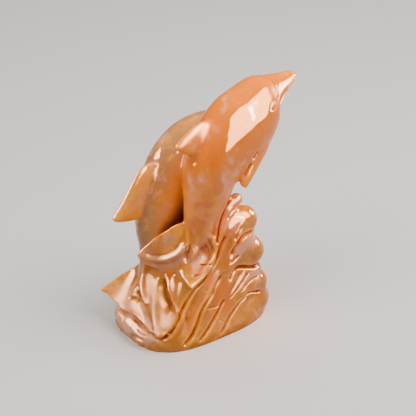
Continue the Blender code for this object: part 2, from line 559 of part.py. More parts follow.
def keep_facets(carving):
    """Keeps the facets that the shape needs, and fewer where it is even."""
    carving.data.calc_loop_triangles()
    thin = carving.modifiers.new("facets", "DECIMATE")
    thin.ratio = FACETS_KEPT / len(carving.data.loop_triangles)
    graph = bpy.context.evaluated_depsgraph_get()
    data = bpy.data.meshes.new_from_object(carving.evaluated_get(graph))
    carving.modifiers.clear()
    carving.data = data


def stone():
    """Polished honey agate."""
    material = bpy.data.materials.new("agate")
    material.use_nodes = True
    shader = material.node_tree.nodes["Principled BSDF"]
    shader.inputs["Base Color"].default_value = STONE_COLOUR
    shader.inputs["Roughness"].default_value = STONE_ROUGHNESS
    shader.inputs["Metallic"].default_value = 0.0
    return material


def main():
    for old in list(bpy.data.objects):
        bpy.data.objects.remove(old)
    carving = fuse(rough_forms())
    polish(carving.data)
    cut_lines(carving.data)
    keep_facets(carving)
    cut_flat(carving)
    carving.data.materials.clear()
    carving.data.materials.append(stone())
    carving.data.shade_smooth()
    carving.data.set_sharp_from_angle(angle=SHARP_ANGLE)
    group = bpy.data.collections.new("dolphin_carving")
    bpy.context.scene.collection.children.link(group)
    bpy.context.scene.collection.objects.unlink(carving)
    group.objects.link(carving)


if __name__ == "__main__":
    main()
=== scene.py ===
"""The agate carving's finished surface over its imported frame: two dolphins leap over breaking waves.

The whole ornament is one stone, so one piece stands for the frame's one node. It is carved again from
the same forms on a finer grid and polished, then its grooves, faces, chips and rough end are cut.
"""

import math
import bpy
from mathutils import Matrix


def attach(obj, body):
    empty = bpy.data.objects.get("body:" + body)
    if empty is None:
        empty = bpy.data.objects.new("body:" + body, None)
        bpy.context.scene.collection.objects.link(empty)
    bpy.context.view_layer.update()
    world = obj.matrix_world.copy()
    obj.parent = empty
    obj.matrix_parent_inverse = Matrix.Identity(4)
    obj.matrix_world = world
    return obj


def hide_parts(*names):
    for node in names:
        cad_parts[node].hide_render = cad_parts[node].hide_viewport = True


bl_info = {
    "name": "Agate Dolphins",
    "version": (1, 0, 0),
    "blender": (4, 5, 0),
    "location": "3D View > Sidebar > Agate",
    "description": "Carves and polishes an agate ornament: two dolphins leap over breaking waves",
    "category": "Object",
}

import bmesh
import bpy
import numpy as np
from bpy.props import FloatProperty, FloatVectorProperty, IntProperty, PointerProperty
from mathutils import Matrix, Vector
from mathutils.bvhtree import BVHTree

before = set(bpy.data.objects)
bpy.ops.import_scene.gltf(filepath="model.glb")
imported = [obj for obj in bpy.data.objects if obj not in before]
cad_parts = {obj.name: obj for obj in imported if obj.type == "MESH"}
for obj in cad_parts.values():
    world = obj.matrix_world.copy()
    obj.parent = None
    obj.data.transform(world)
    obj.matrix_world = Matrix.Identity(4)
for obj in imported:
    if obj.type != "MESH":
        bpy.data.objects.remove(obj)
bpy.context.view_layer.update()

NODE = "dolphin_carving"
PIECE = "polished_carving"

# The free forms are drawn in units, on a figure this many units tall, and built to this height in metres.
DRAWN_HEIGHT = 102.0
CARVING_HEIGHT = 0.102

# A dolphin's body from tail to beak: middle of the section x, y, z, then half its depth from
# back to belly and half its width from flank to flank, all in units. The tail end flattens.
LEADER_BODY = (
    (-9.8, -7.6, 32.4, 1.3, 3.6),
    (-6.2, -7.6, 37, 2.6, 5),
    (-2, -7.2, 42.6, 4.6, 5.8),
    (0.1, -7, 50.2, 7.4, 6.8),
    (2.1, -7, 56.4, 9.2, 8.2),
    (3.6, -7, 63, 10.8, 9.8),
    (5.4, -7, 69.8, 12.5, 11.2),
    (10.4, -7, 76.9, 14, 12.4),
    (17, -7, 82.3, 15.2, 12.8),
    (23.6, -7, 87.3, 14.4, 12.2),
    (29.8, -7, 92.6, 10.9, 10.2),
    (34, -7, 94.5, 8, 7.8),
    (37.8, -7, 95.8, 5.4, 5.8),
    (42.5, -7, 97, 3.6, 4),
    (46.2, -7, 98, 2.2, 2.6),
    (47.8, -7, 98.4, 1, 1.2),
)
FOLLOWER_BODY = (
    (-23, 4.6, 13, 1.4, 3.4),
    (-17.4, 6.4, 18, 2.8, 5.2),
    (-13.4, 8.6, 23.2, 4.6, 5.4),
    (-10.8, 9.5, 31.8, 6.6, 6.2),
    (-9, 10.2, 41, 9.4, 8.4),
    (-4.5, 11, 50.7, 12.4, 10.4),
    (-0.6, 12, 56.2, 13.7, 11.4),
    (3.9, 12.5, 62.5, 14.1, 11.8),
    (8.8, 13, 66.9, 13.5, 11.4),
    (14.2, 13.5, 69.5, 12.3, 10.8),
    (21.5, 14, 71.2, 10.2, 9.6),
    (27.5, 14.5, 71.4, 7.8, 7.6),
    (31.5, 14.8, 71, 5.4, 5.6),
    (37, 15, 70.2, 3.5, 3.9),
    (41, 15.2, 69.6, 2.1, 2.5),
    (42.4, 15.2, 69.4, 1, 1.2),
)

# Fins and tail flukes in sections: the front edge's point, the back edge's point, the thickness
# towards the front and towards the back, and how far the blade is dished, all in units.
LEADER_BACK_FIN = (
    ((8, -7, 88), (2, -7, 74), 3, 4, 0),
    ((2, -7, 91.8), (-4, -7, 77.6), 3.6, 4.8, 0),
    ((-4, -7, 90.6), (-7.4, -7, 79.8), 4, 4.8, 0),
    ((-9, -7, 87.8), (-9.8, -7, 81.6), 3.8, 4, 0),
    ((-12.4, -7, 85.2), (-12.2, -7, 83.2), 2.2, 2.2, 0),
)
FOLLOWER_BACK_FIN = (
    ((-5, 10.5, 69), (-8, 10.5, 46), 4, 8, 0),
    ((-14.4, 10.5, 70.4), (-15.5, 10.5, 46.6), 4.4, 6, 0),
    ((-19.6, 10.5, 66), (-20, 10.5, 47), 4.4, 5, 0),
    ((-24, 10.5, 59.6), (-24.6, 10.5, 47.9), 4, 4.2, 0),
    ((-28.2, 10.5, 54.4), (-28.2, 10.5, 49), 3.4, 3.4, 0),
    ((-30.6, 10.5, 51.8), (-30.2, 10.5, 50), 2.2, 2.2, 0),
)
LEADER_SIDE_FIN = (
    ((30.4, -11, 82.4), (18, -11, 80), 4.6, 4.6, 0),
    ((29.2, -14.6, 77), (17.4, -15.5, 76.6), 4.8, 4.6, 0),
    ((21.2, -17, 70), (14.4, -17.2, 72.4), 4.4, 4.2, 0),
    ((15.8, -17.8, 64.8), (11.8, -18, 67), 3.8, 3.8, 0),
    ((13.6, -18, 62.6), (11.4, -18.1, 64.2), 3, 3, 0),
)
FOLLOWER_SIDE_FIN = (
    ((21, 19, 64), (12.5, 19, 65), 4.6, 4.6, 0),
    ((20, 23.5, 59.8), (11.5, 23.5, 61.5), 4.4, 4.4, 0),
    ((15.5, 25.4, 54.5), (9, 25.4, 57.5), 3.8, 3.8, 0),
    ((10.6, 26.2, 50), (7, 26.2, 52.8), 3.4, 3.4, 0),
    ((8.2, 26.4, 48), (6.2, 26.4, 49.6), 2.6, 2.6, 0),
)
LEADER_FLUKES = (
    ((-14, -18.9, 28.2), (-14.8, -18.5, 27.7), 1.8, 1.8, 0),
    ((-11, -18.7, 28.1), (-14.8, -17.8, 27.6), 2.4, 2.8, 0.2),
    ((-5.9, -17.8, 29.2), (-14.4, -16.3, 27.9), 2.8, 3.4, 0.8),
    ((0, -15.8, 32.3), (-14, -14.1, 28.4), 3.2, 4, 1.5),
    ((3.1, -13.2, 36.7), (-13.7, -12, 28.9), 3.6, 4.2, 1.6),
    ((2.9, -10.6, 42.4), (-13.4, -9.7, 29.2), 4.6, 4.4, 0.8),
    ((-1.9, -7.6, 47.3), (-13.5, -7.4, 29.2), 5, 4.4, 0.2),
    ((-6.9, -4.8, 48.8), (-14.3, -4.8, 28.6), 3.4, 4.4, 0.8),
    ((-11.4, -1.4, 46.1), (-15.7, -1.4, 27.8), 2.6, 4.4, 1.4),
    ((-16.6, 2.6, 41), (-18, 2.5, 28.2), 2.2, 4, 1.2),
    ((-20.3, 5.6, 36.2), (-20.3, 5.5, 30.2), 2, 3.2, 0.4),
    ((-21.9, 6.6, 33.8), (-21.8, 6.6, 32.4), 1.6, 1.8, 0),
)
FOLLOWER_FLUKES = (
    ((-27.6, -15, 7.4), (-28.4, -13.8, 6.6), 1.8, 1.8, 0),
    ((-24.6, -16.2, 8.8), (-28.4, -12.4, 6.8), 2.8, 3, 0.3),
    ((-20.2, -15.4, 12.4), (-28.3, -9.4, 7), 3.2, 3.4, 0.8),
    ((-18.8, -11.6, 16.6), (-28.3, -6, 7.3), 3.6, 3.4, 1),
    ((-18.6, -6.8, 20.4), (-28.3, -2.2, 8.2), 3.8, 3.4, 1),
    ((-15.6, -0.6, 23.6), (-28.3, 1.6, 9.2), 4.2, 3.6, 0.8),
    ((-11.5, 7.6, 27), (-28.2, 5.4, 9), 5, 3.6, 0.2),
    ((-12.2, 13.6, 24.4), (-28.3, 9, 8.6), 3.6, 3.4, 1),
    ((-17, 17.1, 20.7), (-28.3, 12.5, 8.7), 2.8, 3.2, 1.4),
    ((-22.7, 19, 18), (-28.2, 15.5, 9.9), 2.4, 3, 1.2),
    ((-27.2, 20.2, 15.2), (-28.8, 18.5, 11.4), 2, 2.6, 0.4),
    ((-30.3, 21, 13.6), (-30.4, 20.6, 12.9), 1.6, 1.6, 0),
)

# The wave mound from below the floor up: height in units, then how far it reaches to the left,
# right, front and back as shares of half the base's length or width.
MOUND = (
    (-3, 0.94, 0.94, 0.94, 0.94),
    (0, 0.985, 0.985, 0.985, 0.97),
    (3, 1.01, 1.01, 1, 1),
    (6.5, 1.005, 1, 0.94, 0.97),
    (11, 0.84, 0.95, 0.865, 0.93),
    (16, 0.68, 0.86, 0.8, 0.87),
    (22, 0.58, 0.74, 0.755, 0.8),
    (28, 0.48, 0.72, 0.7, 0.73),
    (33, 0.26, 0.7, 0.655, 0.66),
    (39, 0.05, 0.62, 0.6, 0.6),
    (44, -0.06, 0.6, 0.555, 0.52),
    (50, -0.22, 0.46, 0.5, 0.34),
    (55, -0.31, 0.4, 0.46, 0.06),
    (57, -0.35, 0.38, 0.42, -0.1),
)

# Strands of water that sweep up and end in a curl: points along the middle and the radius there.
STRANDS = {
    "core": ((17, -7, 4, 9.6), (16.6, -7.5, 22, 9.4), (15.4, -7.9, 34, 9), (14.8, -8.3, 39, 8.8),
        (12.4, -8.5, 47, 5.6), (11.5, -9, 51, 3.4)),
    "crest": ((1.5, -12.6, 30.9, 1.8), (2.7, -12.4, 35.9, 1.8), (4.5, -12.1, 40.7, 1.9),
        (6.6, -11.7, 45.3, 1.9), (8.8, -11.4, 49.8, 2), (11.9, -11.2, 53, 2.4), (14.8, -11.2, 54.3, 2.6)),
    "high_curl": ((0.9, -12.5, 30.9, 2), (4, -12.5, 35.8, 2.4), (6.9, -12.2, 40.1, 2.8),
        (10.4, -11.8, 43.2, 3.4), (14.4, -11.4, 44.8, 4.2), (18.6, -11, 44.6, 4.9), (20, -10.8, 43, 4.9)),
    "rib": ((7.4, -14.2, 31.9, 1.5), (9.1, -14.7, 35.8, 1.5), (10.4, -14.9, 38.6, 1.4),
        (12.1, -14.7, 41.2, 1.4), (14.3, -14.2, 43.4, 1.5), (16.5, -13.4, 44.7, 1.6)),
    "middle_curl": ((4.1, -14.9, 24.7, 2.2), (7.6, -14.4, 27.9, 2.6), (11.5, -13.6, 30.1, 3.1),
        (15.9, -12.7, 31.2, 4.2), (19.9, -12, 30.4, 5.6), (21.6, -11.8, 28.4, 5.9)),
    "under_tail": ((-20.7, -17.1, 11.6, 1.6), (-16, -14.3, 16.9, 3.2), (-13.1, -12.6, 21, 4.2),
        (-10, -11.2, 24.8, 4.8), (-7.4, -10, 29.1, 4.8)),
    "trough_floor": ((-13, -4, 24, 3), (-15.5, -8, 19.5, 3.2), (-18, -12.5, 14, 3.2), (-20.5, -14.5, 9, 3)),
    "foot_fill": ((-22.6, -15.4, 5, 2.8), (-20.8, -16.2, 9.6, 2.6), (-18.4, -16.6, 13.8, 2.2)),
    "panel_one": ((-18.4, -17.3, 3.2, 3.2), (-12.9, -16.2, 8.9, 3.8), (-7.8, -15.6, 14.7, 3.8),
        (-3.4, -15.1, 20.3, 3.4), (0.1, -14.7, 24.4, 2.8), (3.8, -13.8, 28.3, 2.4), (6.9, -13.2, 32, 2)),
    "panel_two": ((-13, -18.3, 0.9, 2.6), (-8.2, -17.3, 4.7, 3), (-3.5, -16.6, 9.2, 3.2),
        (-0.2, -16.3, 13.4, 3), (3.6, -15.5, 17.8, 3), (6.5, -15.1, 21.7, 2.8), (8.7, -14.8, 25, 2.4)),
    "panel_three": ((-6.8, -18.8, -0.9, 2.4), (-2.1, -18.1, 3.1, 2.6), (2.7, -17.3, 7, 2.8),
        (6.7, -16.9, 11, 2.6), (10.6, -16.4, 15.5, 2.4), (14.4, -15.4, 18.9, 2.6), (19, -14, 20.6, 3.2),
        (22.6, -12.6, 20, 3.4)),
    "low_curl": ((1.8, -18.4, 6.5, 2), (7.3, -17.4, 10.1, 2.6), (12.5, -16.1, 13.1, 3.2),
        (17.8, -14.6, 14.4, 4.2), (22.2, -13, 14.3, 5.2), (23.4, -12.6, 13.4, 5.5)),
    "foot_curl": ((-1.1, -18.1, -0.2, 3.2), (7.5, -16.6, 1.3, 4), (16.2, -14.3, 4.4, 5.6),
        (21.6, -12.4, 6, 7), (22.8, -12, 5.6, 7.2)),
    "high_lip": ((20, -10.8, 43, 4.9), (19.6, -4.5, 42, 4.6), (16.6, 2, 40, 4)),
    "middle_lip": ((21.6, -11.8, 27.8, 5.4), (22.4, -5, 27.4, 5.2), (20.8, 2, 25.6, 4.4)),
    "low_lip": ((23.4, -12.6, 13.4, 5.4), (25, -5, 12.6, 5.2), (24.4, 2.4, 11.2, 4.6)),
    "back_crest": ((4, 13, 26, 3.4), (8, 13.5, 34, 4), (12.5, 12.6, 41, 4.4), (17, 11, 45, 4.6),
        (19.6, 9.5, 43.4, 4)),
    "back_curl": ((0, 15.5, 12, 4), (7, 14.5, 20, 5), (14, 13, 26.6, 6), (19, 11, 29, 6),
        (22, 9.6, 26.4, 5.4)),
    "back_low_curl": ((2, 15.6, 4, 5), (10, 14, 8, 6.2), (17, 12, 11.6, 7.2), (22, 10, 11, 7.2)),
}

# Lines cut into the stone: half their width, how deep they are (a ridge has a depth below zero)
# and how sharp their bottom is, then points close to the surface, all in units.
WAVE_LINES = (
    # Between the panels of the wave, from the foot up to the curls.
    (1.1, 2.4, 0.9, ((-24, -16.6, 7.6), (-21.4, -18, 12.4), (-16, -16.9, 18.7), (-11, -16.3, 22.8),
        (-6.2, -15.4, 25.4))),
    (0.9, 1.7, 0.9, ((-8, -15.8, 24.6), (-6.2, -15.4, 25.4), (-3, -15.5, 28.4), (1.3, -15.1, 32.2),
        (3.2, -14.7, 35.5), (4.7, -14.6, 38.6), (6.7, -14.6, 41.6))),
    (1, 2, 0.9, ((-19.1, -20.1, 2.5), (-15, -20.2, 6.1), (-12.2, -19.8, 9.6), (-9.8, -19.4, 13.6),
        (-7.5, -19, 16.3), (-5.2, -18.8, 18.1), (-2.8, -18.3, 19.8), (-1.5, -18, 22), (0.5, -17.4, 23.8),
        (2.4, -16.9, 25.5))),
    (0.8, 1.6, 0.9, ((-12.4, -21.4, 2.8), (-9.1, -21.1, 5.1), (-4.8, -20.2, 8.2), (-1.7, -19.6, 10.9),
        (0.6, -19.2, 13.2), (2.5, -18.8, 15.1))),
    (0.8, 1.4, 0.9, ((-2.4, -22.4, 2.1), (0.6, -21.9, 4.9), (4, -20.8, 7.8), (7.2, -20.1, 9.6),
        (10.2, -19.6, 11), (13.3, -19.1, 11.9), (15, -18.8, 13), (18.4, -18, 12.2), (22, -17.5, 11))),
    (0.7, 1.1, 0.9, ((5.8, -18.6, 14.6), (8.7, -18.2, 16.6), (11.6, -17.8, 18.6), (13.9, -17.5, 20),
        (16.4, -17, 21.6))),
    (0.6, 0.8, 0.9, ((11.4, -18.8, 15.4), (15.1, -18, 17.3), (18.3, -17.3, 18.2), (22, -16.8, 17.9))),
    (1.1, 2.1, 1.1, ((6.4, -17.7, 22), (7.8, -17.3, 24.2), (9.8, -16.7, 25.4), (12.4, -16.1, 25.6),
        (15.1, -16.6, 24.8), (18.4, -16.5, 23.5), (22.5, -14.8, 22.1))),
    (1.1, 2.1, 1.1, ((8.5, -15.8, 32.1), (9.9, -15.8, 34.9), (11.9, -15.9, 37), (13.4, -16, 38.8),
        (15.7, -15.7, 39.7), (18.9, -15, 39.3), (22, -13.4, 38.8))),
    (0.8, 1.3, 1, ((7.8, -16.5, 29.4), (10, -16.4, 30.4), (12.1, -16.4, 31.3))),
    (0.9, 1.8, 1.1, ((8.3, -13.3, 47.8), (9.4, -13.2, 49.7), (11.1, -13, 50.8), (13.2, -12.3, 51.5),
        (15.4, -10.6, 52))),
    (0.8, 1.5, 0.9, ((2.9, -13.7, 39.3), (4, -13, 43.2), (5.3, -12.6, 46.7), (6.7, -12.7, 50.4),
        (8.2, -12.8, 53.6), (10.9, -11.9, 55.5))),
    (0.8, 1.2, 1, ((10.2, -16.1, 39.1), (11.9, -15.8, 41.6), (13.7, -15.5, 44.1))),
    # Between the follower's fluke and the wave.
    (3, 2.6, 1.1, ((-16.6, -2.8, 25.1), (-17.6, -5.3, 22), (-18.4, -8.3, 19.1), (-19.3, -11.5, 16.8),
        (-20, -13.8, 15.6))),
    # The step where the follower's flukes end over the foot.
    (1.1, 1.5, 0.9, ((-27.6, 13, 8.4), (-28.2, 11.1, 8), (-28.9, 6.7, 8.6), (-28.7, 2.2, 9.3),
        (-28.7, -1.2, 9.1), (-28.8, -5.3, 8.4), (-28.8, -8.6, 7.7), (-28.5, -12.1, 7), (-27.2, -14.4, 6.2),
        (-26.1, -15.6, 6.4), (-24.1, -16.9, 8.2))),
    # The slit where the leader's side fin leaves the belly.
    (0.7, 1.2, 0.9, ((19.1, -19.1, 77.8), (18.2, -18.9, 76.3), (16.8, -18.8, 74.5))),
    # Plainer grooves on the back of the wave.
    (1.3, 1.6, 1, ((-18, 20.8, 2), (-14, 21.2, 3), (-2, 21, 6.5), (8, 20, 8.5), (16, 19, 8.6), (21, 18, 8),
        (25, 16, 7))),
    (0.8, 0.9, 0.9, ((-8, 22.2, 1.5), (0, 22.4, 3), (8, 22, 4.2), (15, 21, 4.4), (21, 19.3, 3.6))),
    (1.4, 1.8, 1, ((-17, 20.8, 5), (-13, 21.4, 5.6), (-8, 20.6, 7), (2, 18.6, 13.5), (12, 16.8, 18.5),
        (20, 14, 20), (26, 10, 18.5))),
    (0.8, 1, 0.9, ((-4, 21.3, 8.2), (1, 21, 10.4), (7, 20.1, 13), (14, 18.5, 15), (20, 17.7, 15),
        (24, 16.5, 13.5))),
    (1.4, 1.7, 1, ((-16, 19.8, 8), (-12, 19.4, 11), (-4, 18, 18), (1, 16.8, 24), (5, 16.4, 30),
        (8, 17.3, 33))),
    (0.8, 0.9, 0.9, ((-15, 18.2, 11), (-11, 17.1, 16), (-7, 16.7, 22), (-4, 15.8, 27))),
    (1.4, 1.8, 1, ((-9, 18.5, 12), (-4, 18.2, 17), (4, 16.4, 26), (12, 15.4, 34), (19, 13, 37),
        (24, 8, 35.5))),
    (0.8, 1, 0.9, ((-1, 19.2, 17), (6, 18.6, 23), (13, 18.9, 27), (19, 17.5, 28.5), (24, 14.5, 26))),
)
SOFT_LINES = (
    # Soft ridges: the wall's left edge, the folds of the flukes, and the rim of the near lobe.
    (1, -0.9, 1.2, ((-15.4, -3.6, 26.8), (-16, -5.3, 25.2), (-16.5, -7.9, 21.9), (-17.5, -11.5, 19.4),
        (-18.7, -14.7, 18.2), (-19.6, -16.7, 15.8))),
    (2.2, -0.9, 1.3, ((-21, 5.1, 34.3), (-18.4, 2.6, 32.6), (-15.8, -0.6, 32.5), (-13.6, -4.2, 34.1),
        (-11, -7.5, 37.4), (-8.5, -8.2, 41.5))),
    (1.6, -0.9, 1.1, ((-1.4, -12.6, 44.4), (1.1, -12.1, 41.6), (1.9, -13.7, 37.4), (0, -14.7, 33.9),
        (-2.8, -15.4, 32.2), (-7.6, -16.6, 30.4))),
    (1.8, -0.7, 1.3, ((-7, -7, 47.3), (-7.5, -8.2, 43), (-8.9, -9.4, 38.5))),
    (2.4, -0.7, 1.3, ((-17.2, 7.7, 27.3), (-18.5, 7.4, 22.3), (-22, 3.5, 18.5), (-24.1, -1.2, 15.4))),
    (2.6, -0.4, 1, ((-20.1, -1.4, 20.2), (-22.5, -5.2, 16.8), (-24.6, -8.4, 12.1), (-27.5, -12.1, 8.5))),
    # The fold between the two lobes of the follower's flukes.
    (2.6, 0.9, 1.2, ((-22.2, 6, 18.3), (-23.4, 1.7, 16.6), (-25, -3, 13.9), (-26.4, -7.4, 10.4),
        (-28.3, -12.5, 7.6))),
    # The bowl of the leader's near fluke, and the hollow beside it.
    (4, 1.5, 1.2, ((-6.2, -11.1, 40.6), (-3.3, -12.5, 37.8), (-1.8, -13.9, 34.2))),
    (2.2, 0.9, 1.2, ((-7.7, -9.7, 40), (-9.5, -10.1, 36.2), (-10.5, -11.4, 32.6))),
    # Along the leader's side fin, and the rounded ribs of the curls.
    (1, 1, 1, ((16.3, -18.8, 73.3), (14.3, -18.8, 70.9), (12.4, -18.6, 67.9))),
    (1, -0.5, 1.2, ((16.1, -15.1, 46.7), (13.7, -15.5, 44.1), (10.8, -16, 40.3))),
    (1.6, -0.5, 1.2, ((11.3, -13.3, 53.2), (8.8, -13.2, 50.3), (7.6, -13.5, 46.3), (5.2, -14, 41.9))),
    (1.4, -0.5, 1.2, ((15.5, -16.8, 23.3), (12.1, -17.2, 20), (8.3, -18, 17.1), (5.9, -18.5, 15))),
)
# Lines on each dolphin's face, on both flanks: half their width, depth, sharpness, then the
# distance back from the tip of the beak in units and the degrees up from the flank's middle.
FACE_LINES = (
    # The crease round the root of the beak.
    (1.1, 0.45, 1.2, ((12.4, 80), (12.8, 54), (13.8, 34), (14.9, 17), (16.4, 6))),
    # The mouth.
    (0.5, 0.7, 0.9, ((1.8, 8), (3.4, 4), (6, -6), (8.5, -15), (12.8, -14), (15.9, -10))),
    # The eye: a groove round a bead.
    (0.45, 0.32, 0.9, ((19, 19), (17.6, 14), (17.6, 6), (19, 1), (20.6, 6), (20.5, 14), (19, 19))),
)
# The bead of the eye, drawn in the same way.
EYE_LINES = ((1.3, -0.38, 0.7, ((18.8, 7), (19.2, 13))),)
# Small cuts and breaks.
SMALL_LINES = (
    # The slit and the crack of the leader's near fluke.
    (0.7, 1.2, 1, ((-10.7, -15.5, 30), (-7.9, -16.3, 30.2))),
    (0.45, 0.8, 1, ((-5.9, -13.8, 32.5), (-3.6, -15.2, 32.4), (-1.5, -16.1, 31.9))),
    # The ledge in the wave.
    (0.6, 0.7, 1, ((-6.5, -19.1, 14.5), (-3.5, -18.6, 13.8), (-0.9, -19.1, 13.7), (1.3, -19, 14))),
    # The dent in the fold of the follower's flukes.
    (1.1, 0.9, 1, ((-25.2, 8.1, 13.6), (-24.6, 4.6, 15), (-24, 0.9, 15.8))),
    (1, 0.9, 1, ((-22.9, 6.4, 17.4), (-23.6, 2.8, 16.5), (-25.6, 2.9, 14))),
    # Chips of the rough end.
    (1.4, 0.9, 1, ((-31.6, -2.1, 3.1), (-31.3, -5, 3.8), (-30.5, -9.4, 4))),
    (1, 0.7, 1, ((-30.9, -4, 6.7), (-30.5, -7, 6.2), (-30, -9.4, 5.8))),
    # A shallow line below the middle curl.
    (0.5, 0.3, 1.4, ((3.1, -16.7, 26.6), (6.4, -16.8, 24.6), (9.8, -16.8, 22.6))),
)

# How square the mound's rings are: the power of their outline, what is added to it at the floor, and the
# height in units from which nothing is added.
RING_POWER = 2.3
FLOOR_POWER = 0.7
FLOOR_POWER_TOP = 12.0

# How many steps a smooth curve takes from each drawn point to the next.
STRAND_STEPS = 6
FACE_STEPS = 8
LINE_STEPS = 12
CLOUD_STEPS = 5

# How lines are laid, in units: the gap between their points, and the farthest that they are moved on to
# the surface. A line fades towards its ends over this many half widths, from this share of one.
LINE_GAP = 0.25
FARTHEST_SNAP = 2.0
FADE_LENGTH = 1.5
FADE_START = 1 / 3

# How far a point moves in one pass towards its neighbours' mean, and how many passes even out a number
# that is stored at the points, and the surface that hollows are measured from.
HOLLOW_SHARE = 0.7
POLISH_SHARE = 0.5
SOFTEN_PASSES = 12
EVEN_PASSES = 36

# How depths are found, in metres: how far from the surface a ray starts, the stone that counts as thick,
# the rays that look for nooks and their reach, and the depth below the evened surface that counts as
# deep. The rays are spread evenly by the golden turn.
RAY_START = 0.0002
THICK_STONE = 0.020
NOOK_RAYS = 14
NOOK_REACH = 0.016
HOLLOW_DEPTH = 0.0005
GOLDEN_TURN = math.pi * (3.0 - math.sqrt(5.0))

# The rough end's skin: how steeply chips rise from their edges, how low the edges lie and how much grain
# is added, as shares of the break's depth.
CHIP_RISE = 2.4
CHIP_EDGE = 0.7
CHIP_GRAIN = 0.3

# Clouds and veins that show in the skin of the stone, some of them painted highlights and painted shade, in
# units: radius, strength and the points of the line that they follow.
MILK_AND_HIGHLIGHT_CLOUDS = (
    (5, 0.35, ((1, -9, 89), (-3, -8, 90))),
    (3, 0.5, ((8, -14, 92), (3, -11, 91))),
    (3.4, 0.8, ((12, -19, 74), (14, -20, 78))),
    (3.4, 0.9, ((7, -18, 82), (5, -17, 78))),
    (3.6, 1, ((3, -17, 67), (5, -18, 72), (8, -18, 70))),
    (3, 0.7, ((-7, -9, 71), (-6, -12, 67))),
    (3.4, 0.9, ((-3, -9, 90), (0, -10, 88), (-4, -9, 82))),
    (2.8, 0.8, ((-2, -13, 76), (-4, -12, 70))),
    (3.6, 0.5, ((-3, -13, 49), (-4, -13, 55))),
    (3, 1.3, ((-21, 5, 34), (-18, 2, 32), (-16, -1, 31), (-13, -5, 33), (-10, -8, 36))),
    (3.4, 0.6, ((-12, -3, 42), (-15, 1, 39))),
    (3.8, 0.8, ((-4, -11, 37), (-7, -13, 34), (-2, -12, 40))),
    (2, 1, ((-9, -15, 28), (-4, -16, 31))),
    (4, 0.7, ((-26, 14, 13), (-26, 5, 12))),
    (3.4, 0.6, ((-21, -14, 14), (-25, -12, 9))),
    (6, 0.6, ((-32, 2, 6),)),
    (5, 0.6, ((-13, 8, 64), (-12, 12, 68))),
    (3.8, 0.5, ((2, 15, 78), (-7, 18, 69))),
    # The next three rows lay pale lilac on the crest and on the middle and low curls as painted highlights.
    (3.4, 1, ((13, -12, 55), (10, -13, 52), (7, -13, 47), (10, -14, 46))),
    (3, 1.3, ((12, -16, 34), (14, -17, 36), (17, -17, 37), (20, -16, 35))),
    (2.8, 1, ((13, -17, 19), (17, -17, 20), (21, -17, 19))),
    (2, 1, ((4, -12, 89), (3, -8, 91), (5, -3, 91))),
    (1.8, 0.9, ((8, -10, 95), (12, -8, 96), (14, -5, 97))),
)
# Amber veins in the stone, and amber laid as painted shade low down in hollows, troughs and under the curls.
AMBER_VEIN_AND_SHADE_CLOUDS = (
    (3.8, 0.5, ((3, -9, 92), (7, -11, 93), (14, -12, 97), (22, -13, 100))),
    (1.9, 1.5, ((-6, -9, 88), (-2, -9, 85), (0, -12, 84), (0, -14, 82), (0, -15, 79), (0, -17, 72),
        (1, -17, 65))),
    (2, 0.6, ((-7, -9, 74), (-6, -10, 71), (-6, -11, 68))),
    (3.8, 0.5, ((-2, -15, 63), (-3, -14, 60), (-4, -12, 53), (-5, -10, 48))),
    (2.2, 0.5, ((3, -17, 78), (7, -18, 82), (12, -20, 82))),
    (3.6, 0.5, ((26, -19, 89), (23, -20, 86))),
    # From here down the rows lie low on the wave and the flukes; most of them lay amber as painted shade in
    # hollows, troughs and under the curls.
    (3.6, 0.9, ((6, -15, 43), (7, -15, 36), (8, -16, 31))),
    (5, 0.9, ((4, -18, 18), (2, -18, 14), (-2, -18, 23))),
    (4, 0.7, ((-5, -17, 31), (-2, -16, 27))),
    (4, 0.8, ((-17, 5, 25), (-18, 5, 22))),
    (2.2, 0.6, ((-3, -14, 33), (-1, -14, 36))),
    (2.4, 0.6, ((-8, -17, 19), (-13, -19, 11), (-18, -20, 6))),
    (2.8, 0.8, ((-15, -4, 30), (-16, -8, 24), (-19, -12, 17))),
    (2.8, 0.8, ((11, -15, 38), (18, -15, 39))),
    (2.8, 0.7, ((9, -16, 25), (20, -15, 23))),
)
# Where the stone keeps a duller finish: the bowl of the leader's near fluke, the panels and the foot of
# the wave, the fold of the follower's flukes, and round the leader's eye.
MATT_CLOUDS = (
    (2.8, 0.9, ((-9, -14, 31), (-7, -13, 34), (-4, -11, 37))),
    (5, 0.9, ((-5, -17, 31), (-2, -18, 23), (-6, -17, 20))),
    (6, 1, ((-20, -19, 9), (-14, -15, 20), (-9, -18, 14), (-3, -20, 8), (6, -22, 3))),
    (4, 0.9, ((-14, -21, 3), (-6, -22, 3), (4, -22, 3), (10, -20, 8))),
    (4, 0.6, ((17, -19, 9), (4, -18, 18))),
    (3, 0.6, ((-18, 3, 23), (-19, 1, 21), (-22, -4, 18))),
    (2.4, 0.5, ((-18, -4, 21), (-19, -7, 19))),
    (1.9, 0.9, ((31, -13, 100), (30, -15, 98), (31, -16, 95), (30, -17, 93))),
)

# Where it is only satin: the follower's flukes, the leader's back fin and its far fluke.
SATIN_CLOUDS = (
    (6, 1, ((-25, 15, 13), (-25, 4, 14), (-22, -3, 18), (-25, -11, 11))),
    (5, 0.7, ((-12, -8, 84), (-7, -9, 88), (-1, -9, 90))),
    (4, 0.6, ((-19, 4, 33), (-12, -5, 35))),
)
CLOUDS = {"milk_and_highlight": MILK_AND_HIGHLIGHT_CLOUDS, "amber": AMBER_VEIN_AND_SHADE_CLOUDS, "matt": MATT_CLOUDS, "satin": SATIN_CLOUDS}
# A cloud fades out at this many times its radius.
CLOUD_REACH = 1.5

# The stone's patterns are drawn in millimetres, this many to the metre.
MILLIMETRES = 1000.0
